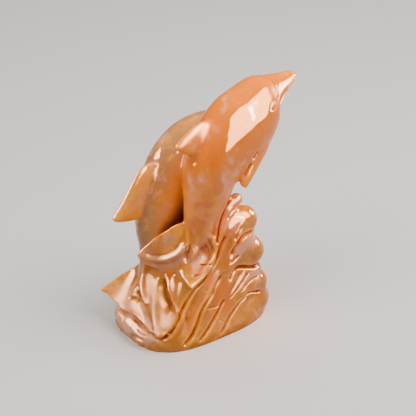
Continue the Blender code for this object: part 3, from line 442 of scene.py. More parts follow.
# Noise in the stone: its scale, detail, distortion and how far it is shifted.
NOISES = {
    "fine": (0.85, 4, 0.4, (0, 0, 0)),
    "fleck": (0.2, 6, 0.9, (50, 9, 2)),
    "patch": (0.15, 6, 0.9, (0, 0, 0)),
    "broad": (0.055, 4, 0.8, (9, 3, 1)),
    "narrow_vein": (0.17, 6, 1.1, (4, 19, 8)),
    "wide_vein": (0.05, 3, 0.8, (40, 3, 70)),
    "brown_cloud": (0.07, 4, 0.9, (31, 7, 2)),
    "brown_spot": (0.26, 5, 0.8, (3, 77, 5)),
    "ripple": (0.8, 2, 0, (0, 0, 0)),
}
NOISE_ROUGHNESS = 0.62

# Patterns of the stone. Each adds up marks with their weights, starts at one sum and is full at another.
# A mark is a noise, a cloud, a depth or a place: X, Y and Z are millimetres right, back and up.
PATTERNS = {
    "high": ({"Z": 1}, 60, 86),
    "over_waves": ({"Z": 1}, 32, 60),
    "vein_height": ({"Z": 1}, 50, 70),
    "fluke_height": ({"Z": 1}, 20, 28),
    "over_foot": ({"Z": 1}, 16, 26),
    "over_rough_end": ({"Z": 1}, 9, 13),
    "off_floor": ({"Z": 1}, 1, 4),
    "far_side": ({"Y": 1}, 1, 7),
    "off_front": ({"Y": 1}, -16, -11),
    "right_of_flukes": ({"X": 1}, 2, 10),
    "right_of_rough_end": ({"X": 1}, -27, -22),
    # Where the stone is thin it takes painted glow, on sharp edges a painted highlight, and in grooves and
    # nooks painted shade.
    "thick": ({"thick": 1}, 0.12, 0.75),
    "off_edges": ({"hollow": 1}, 0.22, 0.44),
    "groove": ({"hollow": 1}, 0.51, 0.74),
    "nook": ({"nook": 1}, 0.1, 0.62),
    "milk_and_highlight": ({"milk_and_highlight": 1, "patch": 2.6, "broad": 1.8, "fine": 1, "calm": -0.4}, 0.15, 1.1),
    "amber": ({"amber": 1, "narrow_vein": 2.4, "wide_vein": 1.2, "calm": -0.2}, 0.2, 0.95),
    "brown": ({"brown_cloud": 2.2, "brown_spot": 1.8, "calm": -0.3}, 0.15, 0.75),
    # Gold: the stone's own flecks, with painted glow where the stone is thin.
    "gold": ({"fleck": 2.6, "fine": 0.5, "thin": 0.6, "behind": 0.12}, 0, 0.9),
}

# The stone's finish: how strongly light bends in it, how far red, green and blue light spread in it, the
# shine of polished and of dull stone, the roughness of dull stone, what the rough end and satin places
# add to the roughness of polished stone, and the strength of the ripples and their height in metres.
LIGHT_BENDING = 1.54
LIGHT_SPREAD = (1.0, 0.42, 0.16)
POLISHED_SHINE = 0.3
DULL_SHINE = 0.05
DULL_ROUGHNESS = 0.5
ROUGH_END_ROUGHNESS = 0.14
SATIN_ROUGHNESS = 0.30
RIPPLE_STRENGTH = 0.12
RIPPLE_HEIGHT = 0.0002

# Soft boxes: how far they stand to the right, up and towards the camera from the picture's
# middle, their size, all in metres, their power in watts, how warm their light is, and whether
# they only give highlights.
LIGHTS = (
    ("right_box", (0.32, 0.44, 0.25), (0.46, 0.42), 8.0, 0.1, False),
    ("right_sheen", (0.180, 0.083, 0.214), (0.36, 0.34), 52.0, 1.0, True),
    ("right_strip", (0.210, 0.100, 0.205), (0.025, 0.19), 2.7, 0.2, True),
    ("far_sheen", (0.297, 0.150, -0.057), (0.14, 0.18), 13.0, 0.9, True),
    ("left_box", (-0.30, 0.34, 0.42), (0.40, 0.36), 4.5, 0.1, False),
    ("left_sheen", (-0.285, 0.095, 0.084), (0.27, 0.16), 18.0, 0.9, True),
    ("top_box", (0.02, 0.62, 0.06), (0.40, 0.30), 3.0, 0.1, False),
)
# What the warmest light lacks of red, green and blue, then the room's own light.
WARMEST = (0.0, 0.62, 0.86)
ROOM_COLOUR = (1.0, 0.98, 0.96, 1.0)
ROOM_LIGHT = 0.07
FLOOR_ROUGHNESS = 0.5

# The camera's sensor in millimetres, and the nearest that it sees in metres.
SENSOR_WIDTH = 36.0
NEAREST_SEEN = 0.01


class Flow:
    """One output of a node. Sums written with it add their own Math nodes."""

    def __init__(self, board, socket):
        self.board = board
        self.socket = socket

    def maths(self, operation, first, second):
        return self.board.add("ShaderNodeMath", {"operation": operation}, {0: first, 1: second})

    def __add__(self, other):
        return self.maths("ADD", self, other)

    def __sub__(self, other):
        return self.maths("SUBTRACT", self, other)

    def __rsub__(self, other):
        return self.maths("SUBTRACT", other, self)

    def __mul__(self, other):
        return self.maths("MULTIPLY", self, other)

    def __truediv__(self, other):
        return self.maths("DIVIDE", self, other)

    def __pow__(self, other):
        return self.maths("POWER", self, other)

    def __lt__(self, other):
        return self.maths("LESS_THAN", self, other)

    def clear(self):
        """Kept between 0 and 1."""
        return self.board.add("ShaderNodeClamp", {}, {"Value": self})

    def between(self, low, high):
        """0 up to low, 1 from high on, and smooth between them."""
        settings = {"interpolation_type": "SMOOTHSTEP"}
        sockets = {"Value": self, "From Min": low, "From Max": high}
        return self.board.add("ShaderNodeMapRange", settings, sockets)

    __radd__ = __add__
    __rmul__ = __mul__


class Board:
    """A node tree that nodes are added to."""

    def __init__(self, tree):
        self.tree = tree

    def add(self, kind, settings=None, sockets=None, output=0):
        """Adds a node, sets it up, then sets or links its sockets. Gives one of its outputs."""
        node = self.tree.nodes.new(kind)
        for name, value in (settings or {}).items():
            setattr(node, name, value)
        for name, value in (sockets or {}).items():
            if isinstance(value, Flow):
                self.tree.links.new(value.socket, node.inputs[name])
            else:
                node.inputs[name].default_value = value
        return Flow(self, node.outputs[output])

    def blend(self, share, *colours):
        """A colour between two colours, each of them a flow or three numbers."""
        low, high = (colour if isinstance(colour, Flow) else (*colour, 1.0) for colour in colours)
        return self.add("ShaderNodeMix", {"data_type": "RGBA"}, {0: share, 6: low, 7: high}, output=2)

    def along_normal(self, length):
        """An offset along the surface's own direction, in a geometry tree."""
        normal = self.add("GeometryNodeInputNormal")
        return self.add("ShaderNodeVectorMath", {"operation": "SCALE"}, {0: normal, "Scale": length})

    def attribute(self, name):
        """A number that the points of a mesh carry, in a geometry tree."""
        return self.add("GeometryNodeInputNamedAttribute", {}, {"Name": name})

    def finish(self, geometry, material):
        """Ends a geometry tree: instances are made real and the material is set."""
        real = self.add("GeometryNodeRealizeInstances", {}, {"Geometry": geometry})
        dressed = self.add("GeometryNodeSetMaterial", {}, {"Geometry": real, "Material": material})
        end = self.tree.nodes.new("NodeGroupOutput")
        self.tree.links.new(dressed.socket, end.inputs["Geometry"])


def length_setting(name, description, default, **rest):
    """A length in metres that a user can change."""
    return FloatProperty(name=name, description=description, default=default, unit="LENGTH", **rest)


def turn_setting(name, description, degrees):
    """A turn that a user can change."""
    return FloatProperty(name=name, description=description, default=math.radians(degrees), unit="ROTATION")


def share_setting(name, description, default):
    """A share of the whole that a user can change."""
    return FloatProperty(name=name, description=description, default=default, subtype="FACTOR")


def count_setting(name, description, default):
    """A count that a user can change."""
    return IntProperty(name=name, description=description, default=default)


def colour_setting(name, description, default):
    """A colour that a user can change."""
    return FloatVectorProperty(name=name, description=description, default=default, subtype="COLOR")


class AgateShape(bpy.types.PropertyGroup):
    """Sizes of the carving."""

    height: length_setting("Height", "Height the free forms are drawn to", CARVING_HEIGHT)
    base_length: length_setting("Base length", "Length of the oval foot", 0.0624)
    base_width: length_setting("Base width", "Width of the oval foot", 0.0450)
    base_turn: turn_setting("Base turn", "Turn of the foot about the upright", -1.0)
    grid: length_setting("Grid", "Grid the rough block is carved on", 0.00062, precision=5)
    hollow_passes: count_setting("Hollow passes", "Passes that fill the hollows where forms meet", 34)
    polish_passes: count_setting("Polish passes", "Passes that even the surface", 3)
    groove_depth: share_setting("Groove depth", "Depth of the grooves, as a share of what is drawn", 1.0)
    facets: count_setting("Facets", "Triangles kept on the finished stone", 192000)


class AgateStone(bpy.types.PropertyGroup):
    """Colours and finish of the stone."""

    honey: colour_setting("Honey", "Main colour", (0.74, 0.205, 0.006))
    # Gold is also painted glow where the stone is thin and a painted highlight along sharp edges.
    gold: colour_setting("Gold", "Flecks, edges, and where the stone is thin", (0.82, 0.33, 0.010))
    ochre: colour_setting("Ochre", "Darker stone on the far side, mostly the follower", (0.27, 0.135, 0.050))
    # Lilac also lays painted highlights on the crest and on the middle and low curls.
    lilac: colour_setting("Lilac", "Milky clouds", (0.76, 0.315, 0.185))
    # Amber also lays painted shade low down, in hollows and troughs and under the curls.
    amber: colour_setting("Amber", "Veins low down", (0.50, 0.108, 0.002))
    # Umber also stands as painted shade at the bottoms of grooves and in nooks.
    umber: colour_setting("Umber", "Brown clouds, and the bottoms of grooves and nooks", (0.20, 0.056, 0.007))
    plum: colour_setting("Plum", "Dark milky clouds on the leader's near fluke", (0.34, 0.145, 0.092))
    tangerine: colour_setting("Tangerine", "The leader's back, and veins high up", (0.66, 0.150, 0.0005))
    # Toffee also darkens the stone towards the bottom as painted shade, where the low stone gets less light.
    toffee: colour_setting("Toffee", "Main colour of the waves", (0.40, 0.138, 0.008))
    frost: colour_setting("Frost", "Crystals of the rough end", (0.60, 0.30, 0.19))
    roughness: share_setting("Roughness", "Roughness of the polished stone", 0.06)
    glow: share_setting("Glow", "How much light goes into the stone", 0.42)
    glow_depth: length_setting("Glow depth", "How far light goes into the stone", 0.004)


class AgateStage(bpy.types.PropertyGroup):
    """Floor, lights and camera."""

    floor_size: length_setting("Floor size", "Side of the floor", 3.0)
    floor_colour: colour_setting("Floor colour", "Colour of the floor", (0.44, 0.438, 0.434))
    azimuth: turn_setting("Azimuth", "Where the camera stands round the carving", -38.5)
    elevation: turn_setting("Elevation", "How far the camera looks down", 30.0)
    distance: length_setting("Distance", "From the camera to the carving", 0.800)
    view_width: length_setting("View width", "Width of the picture at the carving", 0.1664)
    side_step: length_setting("Side step", "From the upright axis to the picture's middle", 0.0072)
    middle_height: length_setting("Middle height", "Height of the picture's middle", 0.0503)


def put(name, data):
    """A new object in the scene."""
    made = bpy.data.objects.new(name, data)
    bpy.context.scene.collection.objects.link(made)
    return made


def smooth_rows(rows, steps):
    """Rows of numbers joined by a Catmull-Rom curve, with this many steps from each to the next."""
    rows = np.array(rows, float)
    padded = np.vstack([2 * rows[0] - rows[1], rows, 2 * rows[-1] - rows[-2]])
    found = []
    for start in range(len(rows) - 1):
        before, this, after, beyond = padded[start : start + 4]
        for step in range(steps):
            t = step / steps
            found.append(
                this
                + 0.5 * t * (after - before)
                + t * t * (before - 2.5 * this + 2 * after - 0.5 * beyond)
                + t * t * t * (-0.5 * before + 1.5 * this - 1.5 * after + 0.5 * beyond)
            )
    found.append(rows[-1])
    return np.array(found)


def loft(name, rings):
    """A closed mesh through rings of points that have the same count, with flat ends."""
    mesh = bmesh.new()
    loops = [[mesh.verts.new(Vector(point)) for point in ring] for ring in rings]
    count = len(loops[0])
    for lower, upper in zip(loops, loops[1:]):
        for i in range(count):
            j = (i + 1) % count
            mesh.faces.new((lower[i], lower[j], upper[j], upper[i]))
    mesh.faces.new(reversed(loops[0]))
    mesh.faces.new(loops[-1])
    bmesh.ops.recalc_face_normals(mesh, faces=mesh.faces)
    data = bpy.data.meshes.new(name)
    mesh.to_mesh(data)
    mesh.free()
    return put(name, data)


def body_sections(rows, steps):
    """A dolphin's sections from tail to beak: middle, direction to the flank, direction to the back."""
    rows = smooth_rows(rows, steps)
    middles = rows[:, :3]
    along = np.gradient(middles, axis=0)
    along /= np.linalg.norm(along, axis=1)[:, None]
    flank = np.array((0.0, 1.0, 0.0)) - along * along[:, 1:2]
    flank /= np.linalg.norm(flank, axis=1)[:, None]
    back = np.cross(along, flank)
    return middles, flank * rows[:, 4:5], back * rows[:, 3:4]


def make_body(name, rows, unit, around=36, steps=5):
    """A dolphin's body: oval sections square to the line from tail to beak."""
    rings = []
    for middle, flank, back in zip(*body_sections(rows, steps)):
        angles = np.linspace(0.0, 2 * math.pi, around, endpoint=False)
        ring = [middle - flank * math.cos(a) + back * math.sin(a) for a in angles]
        rings.append(np.array(ring) * unit)
    return loft(name, rings)


def make_blade(name, sections, unit, around=32, steps=6):
    """A fin, or a pair of tail flukes from tip to tip: oval sections dished between their edges."""
    rows = smooth_rows([(*front, *back, *rest) for front, back, *rest in sections], steps)
    span = np.gradient((rows[:, :3] + rows[:, 3:6]) / 2, axis=0)
    rings = []
    for row, outwards in zip(rows, span):
        front, back = row[:3], row[3:6]
        thick_front, thick_back, dish = row[6:]
        chord = (front - back) / 2
        normal = np.cross(chord, outwards)
        normal /= np.linalg.norm(normal)
        ring = []
        for angle in np.linspace(0.0, 2 * math.pi, around, endpoint=False):
            across, up = math.cos(angle), math.sin(angle)
            thick = (thick_front * (1 + across) + thick_back * (1 - across)) / 4
            lift = thick * up - dish * (1 - across * across)
            ring.append((front + back) / 2 + chord * across + normal * lift)
        rings.append(np.array(ring) * unit)
    return loft(name, rings)


def mirrored(sections, middle_y):
    """A blade's sections on the other side of a dolphin whose middle is at this y."""
    return [
        ((fx, 2 * middle_y - fy, fz), (bx, 2 * middle_y - by, bz), thick_front, thick_back, dish)
        for (fx, fy, fz), (bx, by, bz), thick_front, thick_back, dish in sections
    ]


def make_mound(shape, unit, around=96, steps=5):
    """The mound of water that stands on the floor, from rounded rings with four reaches each."""
    rings = []
    for height, left, right, front, back in smooth_rows(MOUND, steps):
        corner = RING_POWER + FLOOR_POWER * max(0.0, 1.0 - max(height, 0.0) / FLOOR_POWER_TOP)
        middle_x, half_x = (right - left) / 2, (right + left) / 2
        middle_y, half_y = (back - front) / 2, (back + front) / 2
        ring = []
        for angle in np.linspace(0.0, 2 * math.pi, around, endpoint=False):
            c, s = math.cos(angle), math.sin(angle)
            x = middle_x + math.copysign(abs(c) ** (2 / corner), c) * half_x
            y = middle_y + math.copysign(abs(s) ** (2 / corner), s) * half_y
            x, y = x * shape.base_length / 2, y * shape.base_width / 2
            turned_x = x * math.cos(shape.base_turn) - y * math.sin(shape.base_turn)
            turned_y = x * math.sin(shape.base_turn) + y * math.cos(shape.base_turn)
            ring.append((turned_x, turned_y, height * unit))
        rings.append(ring)
    return loft("mound", rings)


def new_tree(name, inputs):
    """A Geometry Nodes tree with named inputs, its board, and the flow of each input."""
    tree = bpy.data.node_groups.new(name, "GeometryNodeTree")
    tree.interface.new_socket("Geometry", in_out="INPUT", socket_type="NodeSocketGeometry")
    for label, kind, default in inputs:
        socket = tree.interface.new_socket(label, in_out="INPUT", socket_type="NodeSocket" + kind)
        if default is not None:
            socket.default_value = default
    tree.interface.new_socket("Geometry", in_out="OUTPUT", socket_type="NodeSocketGeometry")
    board = Board(tree)
    given = tree.nodes.new("NodeGroupInput")
    flows = {socket.name: Flow(board, socket) for socket in given.outputs if socket.name}
    return tree, board, flows


def strand_tree():
    """Geometry Nodes: round strands along a curve, thick as the curve's radius, with a ball at each end."""
    tree, board, given = new_tree(
        "water_strands", [("Sides", "Int", 20), ("Rings", "Int", 12), ("Stone", "Material", None)]
    )
    line, sides, rings = given["Geometry"], given["Sides"], given["Rings"]
    radius = board.add("GeometryNodeInputRadius")
    circle = board.add("GeometryNodeCurvePrimitiveCircle", {}, {"Resolution": sides, "Radius": 1.0})
    sockets = {"Curve": line, "Profile Curve": circle, "Scale": radius, "Fill Caps": True}
    tube = board.add("GeometryNodeCurveToMesh", {}, sockets)
    ball = board.add("GeometryNodeMeshUVSphere", {}, {"Segments": sides, "Rings": rings, "Radius": 1.0})
    ends = board.add("GeometryNodeCurveEndpointSelection")
    sockets = {"Points": line, "Selection": ends, "Instance": ball, "Scale": radius}
    balls = board.add("GeometryNodeInstanceOnPoints", {}, sockets)
    both = board.add("GeometryNodeJoinGeometry", {}, {"Geometry": tube})
    board.tree.links.new(balls.socket, both.socket.node.inputs["Geometry"])
    board.finish(both, given["Stone"])
    return tree


def line_tree():
    """Geometry Nodes: presses lines into a surface along its own direction.

    The lines are loose points that carry how wide, deep and sharp the line is there. They are laid
    on the surface first, and points that lie further from it than Reach press nothing. A groove is
    as sharp as it is drawn, and a ridge is rounded first.
    """
    inputs = [("Lines", "Object", None), ("Reach", "Float", 0.002), ("Share", "Float", 1.0)]
    tree, board, given = new_tree("pressed_lines", inputs + [("Stone", "Material", None)])
    surface = given["Geometry"]
    here = board.add("GeometryNodeInputPosition")
    points = board.add("GeometryNodeObjectInfo", {}, {"Object": given["Lines"]}, output="Geometry")
    sockets = {"Geometry": surface, "Sample Position": here}
    landed = board.add("GeometryNodeProximity", {"target_element": "FACES"}, sockets)
    gap = Flow(board, landed.socket.node.outputs["Distance"])
    kept = board.attribute("deep") * (gap < given["Reach"])
    sockets = {"Geometry": points, "Name": "deep", "Value": kept}
    points = board.add("GeometryNodeStoreNamedAttribute", {"domain": "POINT"}, sockets)
    points = board.add("GeometryNodeSetPosition", {}, {"Geometry": points, "Position": landed})
    sockets = {"Geometry": points, "Sample Position": here}
    nearest = board.add("GeometryNodeSampleNearest", {"domain": "POINT"}, sockets)

    def there(value, kind="FLOAT"):
        """A value at the nearest of the lines' points."""
        sockets = {"Geometry": points, "Value": value, "Index": nearest}
        return board.add("GeometryNodeSampleIndex", {"data_type": kind, "domain": "POINT"}, sockets)

    sockets = {0: here, 1: there(here, "FLOAT_VECTOR")}
    away = board.add("ShaderNodeVectorMath", {"operation": "DISTANCE"}, sockets, output="Value")
    depth = there(board.attribute("deep"))
    share = (1.0 - away / there(board.attribute("wide"))).clear()
    rounded = share * share * (3.0 - share * 2.0)
    share = share + (rounded - share) * (depth < 0.0)
    press = share ** there(board.attribute("sharp")) * depth * given["Share"]
    sockets = {"Geometry": surface, "Offset": board.along_normal(press * -1.0)}
    board.finish(board.add("GeometryNodeSetPosition", {}, sockets), given["Stone"])
    return tree


def relief_tree():
    """Geometry Nodes: a hand-polished surface's slight waves, and the broken skin of the rough end."""
    sizes = {
        "Polish wave": 0.00003,
        "Break depth": 0.0006,
        "Rough from": -0.021,
        "Rough full": -0.028,
        "Rough top": 0.013,
        "Rough fade": 0.005,
        "Wave scale": 190.0,
        "Chip scale": 165.0,
        "Grain scale": 700.0,
    }
    inputs = [(name, "Float", value) for name, value in sizes.items()]
    tree, board, given = new_tree("stone_skin", inputs + [("Stone", "Material", None)])
    here = board.add("GeometryNodeInputPosition")
    split = board.add("ShaderNodeSeparateXYZ", {}, {0: here})
    along, upwards = (Flow(board, split.socket.node.outputs[name]) for name in ("X", "Z"))

    def noise(scale, detail):
        """Noise at the surface's points."""
        sockets = {"Vector": here, "Scale": given[scale], "Detail": detail}
        return board.add("ShaderNodeTexNoise", {}, sockets, output="Fac")

    end = 1.0 - along.between(given["Rough full"], given["Rough from"])
    below = 1.0 - upwards.between(given["Rough top"] - given["Rough fade"], given["Rough top"])
    wave = (noise("Wave scale", 2.0) - 0.5) * 2.0
    sockets = {"Vector": here, "Scale": given["Chip scale"], "Randomness": 1.0}
    chips = board.add("ShaderNodeTexVoronoi", {"feature": "DISTANCE_TO_EDGE"}, sockets, output="Distance")
    skin = chips * CHIP_RISE - CHIP_EDGE + noise("Grain scale", 3.0) * CHIP_GRAIN
    lift = wave * given["Polish wave"] + skin * end * below * given["Break depth"]
    sockets = {"Geometry": given["Geometry"], "Offset": board.along_normal(lift)}
    board.finish(board.add("GeometryNodeSetPosition", {}, sockets), given["Stone"])
    return tree


def keep_result(thing):
    """The plain mesh that an object's modifiers make of it, with the modifiers gone."""
    graph = bpy.context.evaluated_depsgraph_get()
    made = bpy.data.meshes.new_from_object(
        thing.evaluated_get(graph), preserve_all_data_layers=True, depsgraph=graph
    )
    thing.modifiers.clear()
    return made


def run_tree(thing, tree, values):
    """The plain mesh that a Geometry Nodes tree makes of an object, with its named inputs set."""
    modifier = thing.modifiers.new(tree.name, "NODES")
    modifier.node_group = tree
    for item in tree.interface.items_tree:
        if item.in_out == "INPUT" and item.name in values:
            modifier[item.identifier] = values[item.name]
    return keep_result(thing)


def make_strands(unit, stone):
    """All strands of water as one mesh of round tubes with balls at their ends."""
    curve = bpy.data.curves.new("strands", "CURVE")
    curve.dimensions = "3D"
    for points in STRANDS.values():
        rows = smooth_rows(points, STRAND_STEPS) * unit
        line = curve.splines.new("POLY")
        line.points.add(len(rows) - 1)
        for point, (x, y, z, radius) in zip(line.points, rows):
            point.co = (x, y, z, 1.0)
            point.radius = radius
    drawn = put("strands", curve)
    made = put("strand_skins", run_tree(drawn, strand_tree(), {"Stone": stone}))
    bpy.data.objects.remove(drawn)
    return made


def lay_lines(name, lines, unit):
    """Loose points along smooth lines, which carry how wide, deep and sharp the line is there."""
    laid = []
    for wide, deep, sharp, points in lines:
        row = smooth_rows(points, LINE_STEPS) * unit
        gone = np.concatenate([[0.0], np.cumsum(np.linalg.norm(np.diff(row, axis=0), axis=1))])
        steps = np.arange(0.0, gone[-1], LINE_GAP * unit)
        row = np.stack([np.interp(steps, gone, row[:, axis]) for axis in range(3)], axis=1)
        wide, deep = wide * unit, deep * unit
        from_end = np.minimum(steps, gone[-1] - steps)
        fade = np.minimum(1.0, (from_end + FADE_START * wide) / (FADE_LENGTH * wide))
        same = np.ones(len(steps))
        laid.append(np.column_stack([row, same * wide, fade * deep, same * sharp]))
    laid = np.vstack(laid)
    data = bpy.data.meshes.new(name)
    data.vertices.add(len(laid))
    data.vertices.foreach_set("co", laid[:, :3].ravel())
    for place, label in enumerate(("wide", "deep", "sharp"), 3):
        keep_number(data, label, laid[:, place])
    return put(name, data)


def face_lines(drawn):
    """Lines of both faces as points close to the surface, on both flanks of each dolphin."""
    found = []
    for rows in (LEADER_BODY, FOLLOWER_BODY):
        middles, flanks, backs = body_sections(rows, FACE_STEPS)
        gaps = np.linalg.norm(np.diff(middles, axis=0), axis=1)
        from_tip = np.concatenate([np.cumsum(gaps[::-1])[::-1], [0.0]])
        for wide, deep, sharp, line in drawn:
            for side in (-1.0, 1.0):
                points = []
                for distance, angle in line:
                    here = np.abs(from_tip - distance).argmin()
                    turn = math.radians(angle)
                    across = flanks[here] * side * math.cos(turn)
                    points.append(middles[here] + across + backs[here] * math.sin(turn))
                found.append((wide, deep, sharp, points))
    return found


def fuse(forms, shape):
    """One closed surface round all the rough forms."""
    joined = bmesh.new()
    for form in forms:
        joined.from_mesh(form.data)
        bpy.data.objects.remove(form)
    block = bpy.data.meshes.new("block")
    joined.to_mesh(block)
    joined.free()
    block.materials.clear()
    carving = put(PIECE, block)
    grid = carving.modifiers.new("grid", "REMESH")
    grid.mode = "VOXEL"
    grid.voxel_size = shape.grid
    carving.data = keep_result(carving)
    return carving


def points_of(mesh):
    """The mesh's points as rows of x, y, z."""
    flat = np.empty(len(mesh.vertices) * 3)
    mesh.vertices.foreach_get("co", flat)
    return flat.reshape(-1, 3)


def move_points(mesh, points):
    """Puts the mesh's points at new places."""
    mesh.vertices.foreach_set("co", points.ravel())
    mesh.update()


def normals_of(mesh):
    """The surface's direction at each point."""
    flat = np.empty(len(mesh.vertices) * 3)
    mesh.vertices.foreach_get("normal", flat)
    return flat.reshape(-1, 3)


def drift_finder(mesh):
    """A function that gives, for values at the points, how far each lies from its neighbours' mean."""
    ends = np.empty(len(mesh.edges) * 2, np.int64)
    mesh.edges.foreach_get("vertices", ends)
    one, other = ends.reshape(-1, 2).T
    count = len(mesh.vertices)
    shared = np.bincount(one, minlength=count) + np.bincount(other, minlength=count)

    def drift(values):
        means = np.empty_like(values)
        for axis in range(values.shape[1]):
            near = values[:, axis]
            total = np.bincount(one, near[other], count) + np.bincount(other, near[one], count)
            means[:, axis] = total / shared
        return means - values

    return drift


def polish(mesh, shape):
    """Fills the hollows where forms meet, then evens the whole surface a little."""
    drift = drift_finder(mesh)
    points = points_of(mesh)
    for _ in range(shape.hollow_passes):
        move_points(mesh, points)
        normals = normals_of(mesh)
        outwards = np.maximum(0.0, (drift(points) * normals).sum(axis=1))
        points = points + HOLLOW_SHARE * normals * outwards[:, None]
    for _ in range(shape.polish_passes):
        points = points + POLISH_SHARE * drift(points)
    move_points(mesh, points)


def keep_number(mesh, name, values):
    """Stores a number at each point of the mesh."""
    layer = mesh.attributes.new(name, "FLOAT", "POINT")
    layer.data.foreach_set("value", values.astype(np.float32))


def keep_softened(mesh, name, values):
    """Stores a number at each point, evened out between neighbours."""
    values = values[:, None]
    drift = drift_finder(mesh)
    for _ in range(SOFTEN_PASSES):
        values = values + POLISH_SHARE * drift(values)
    keep_number(mesh, name, values[:, 0])


def mark_depths(mesh, limit):
    """Stores how thick the stone is under each point, as a share of the limit, and how closed in it is: the
    colour takes painted glow where it is thin and painted shade where it is closed in.
    """
    faces = [tuple(face.vertices) for face in mesh.polygons]
    tree = BVHTree.FromPolygons(points_of(mesh).tolist(), faces)
    steps = np.arange(NOOK_RAYS) + 0.5
    rise = 1.0 - 2.0 * steps / NOOK_RAYS
    turn = steps * GOLDEN_TURN
    level = np.sqrt(1.0 - rise * rise)
    rays = [Vector(ray) for ray in np.column_stack([level * np.cos(turn), level * np.sin(turn), rise])]
    thick = np.ones(len(mesh.vertices))
    closed = np.zeros(len(mesh.vertices))
    for at, (place, normal) in enumerate(zip(points_of(mesh), normals_of(mesh))):
        place, normal = Vector(place), Vector(normal)
        *_, depth = tree.ray_cast(place - normal * RAY_START, -normal, limit)
        if depth is not None:
            thick[at] = depth / limit
        start = place + normal * RAY_START
        for ray in rays:
            slope = ray.dot(normal)
            *_, depth = tree.ray_cast(start, ray if slope > 0 else -ray, NOOK_REACH)
            if depth is not None:
                closed[at] += abs(slope) * (1.0 - depth / NOOK_REACH)
    keep_softened(mesh, "thick", thick)
    keep_softened(mesh, "nook", closed * 2.0 / NOOK_RAYS)


def mark_hollows(mesh, full):
    """Stores how far each point lies below the evened surface: 1 deep in a groove, 0 on a sharp edge."""
    drift = drift_finder(mesh)
    points = points_of(mesh)
    evened = points
    for _ in range(EVEN_PASSES):
        evened = evened + HOLLOW_SHARE * drift(evened)
    above = ((evened - points) * normals_of(mesh)).sum(axis=1)
    keep_number(mesh, "hollow", np.clip(0.5 + above / (2 * full), 0.0, 1.0))


def mark_clouds(mesh, name, clouds, unit):
    """Stores how strongly clouds of one kind show at each point."""
    points = points_of(mesh) / unit
    strongest = np.zeros(len(points))
    for radius, strength, line in clouds:
        away = np.full(len(points), np.inf)
        for place in smooth_rows(line, CLOUD_STEPS) if len(line) > 1 else line:
            away = np.minimum(away, np.linalg.norm(points - place, axis=1))
        strongest = np.maximum(strongest, strength * np.clip(CLOUD_REACH - away / radius, 0.0, 1.0))
    keep_number(mesh, name, strongest)


def cut_flat(mesh_data):
    """Cuts the carving off at the floor, so that it stands on a flat underside."""
    mesh = bmesh.new()
    mesh.from_mesh(mesh_data)
    everything = mesh.verts[:] + mesh.edges[:] + mesh.faces[:]
    cut = bmesh.ops.bisect_plane(
        mesh, geom=everything, plane_co=(0, 0, 0), plane_no=(0, 0, -1), clear_outer=True
    )
    rim = [edge for edge in cut["geom_cut"] if isinstance(edge, bmesh.types.BMEdge)]
    bmesh.ops.contextual_create(mesh, geom=rim)
    bmesh.ops.triangulate(mesh, faces=[face for face in mesh.faces if len(face.verts) > 4])
    bmesh.ops.recalc_face_normals(mesh, faces=mesh.faces)
    mesh.to_mesh(mesh_data)
    mesh.free()


def rough_forms(shape, unit, stone):
    """The rough shapes that run into each other in the block."""
    hidden_fin = mirrored(LEADER_SIDE_FIN, LEADER_BODY[-1][1])
    return [
        make_mound(shape, unit),
        make_body("leader", LEADER_BODY, unit),
        make_body("follower", FOLLOWER_BODY, unit),
        make_blade("leader_back_fin", LEADER_BACK_FIN, unit),
        make_blade("follower_back_fin", FOLLOWER_BACK_FIN, unit),
        make_blade("leader_side_fin", LEADER_SIDE_FIN, unit),
        make_blade("leader_hidden_fin", hidden_fin, unit),
        make_blade("follower_side_fin", FOLLOWER_SIDE_FIN, unit),
        make_blade("leader_flukes", LEADER_FLUKES, unit),
        make_blade("follower_flukes", FOLLOWER_FLUKES, unit),
        make_strands(unit, stone),
    ]


def carve(shape, stone):
    """The finished stone: fused, polished, cut with lines, worked on its skin and cut flat below."""
    unit = shape.height / DRAWN_HEIGHT
    carving = fuse(rough_forms(shape, unit, stone), shape)
    polish(carving.data, shape)
    mark_depths(carving.data, THICK_STONE)
    finer = carving.modifiers.new("finer", "SUBSURF")
    finer.levels = 1
    finer.render_levels = 1
    carving.data = keep_result(carving)
    groups = (SOFT_LINES, WAVE_LINES, face_lines(FACE_LINES), face_lines(EYE_LINES), SMALL_LINES)
    presser = line_tree()
    for lines in groups:
        laid = lay_lines("lines", lines, unit)
        values = {"Lines": laid, "Reach": FARTHEST_SNAP * unit, "Share": shape.groove_depth, "Stone": stone}
        carving.data = run_tree(carving, presser, values)
        bpy.data.objects.remove(laid)
    carving.data = run_tree(carving, relief_tree(), {"Stone": stone})
    mark_hollows(carving.data, HOLLOW_DEPTH)
    for name, clouds in CLOUDS.items():
        mark_clouds(carving.data, name, clouds, unit)
    carving.data.calc_loop_triangles()
    thin = carving.modifiers.new("facets", "DECIMATE")
    thin.ratio = min(1.0, shape.facets / len(carving.data.loop_triangles))
    carving.data = keep_result(carving)
    cut_flat(carving.data)
    carving.data.materials.clear()
    carving.data.materials.append(stone)
    carving.data.shade_smooth()
    return carving


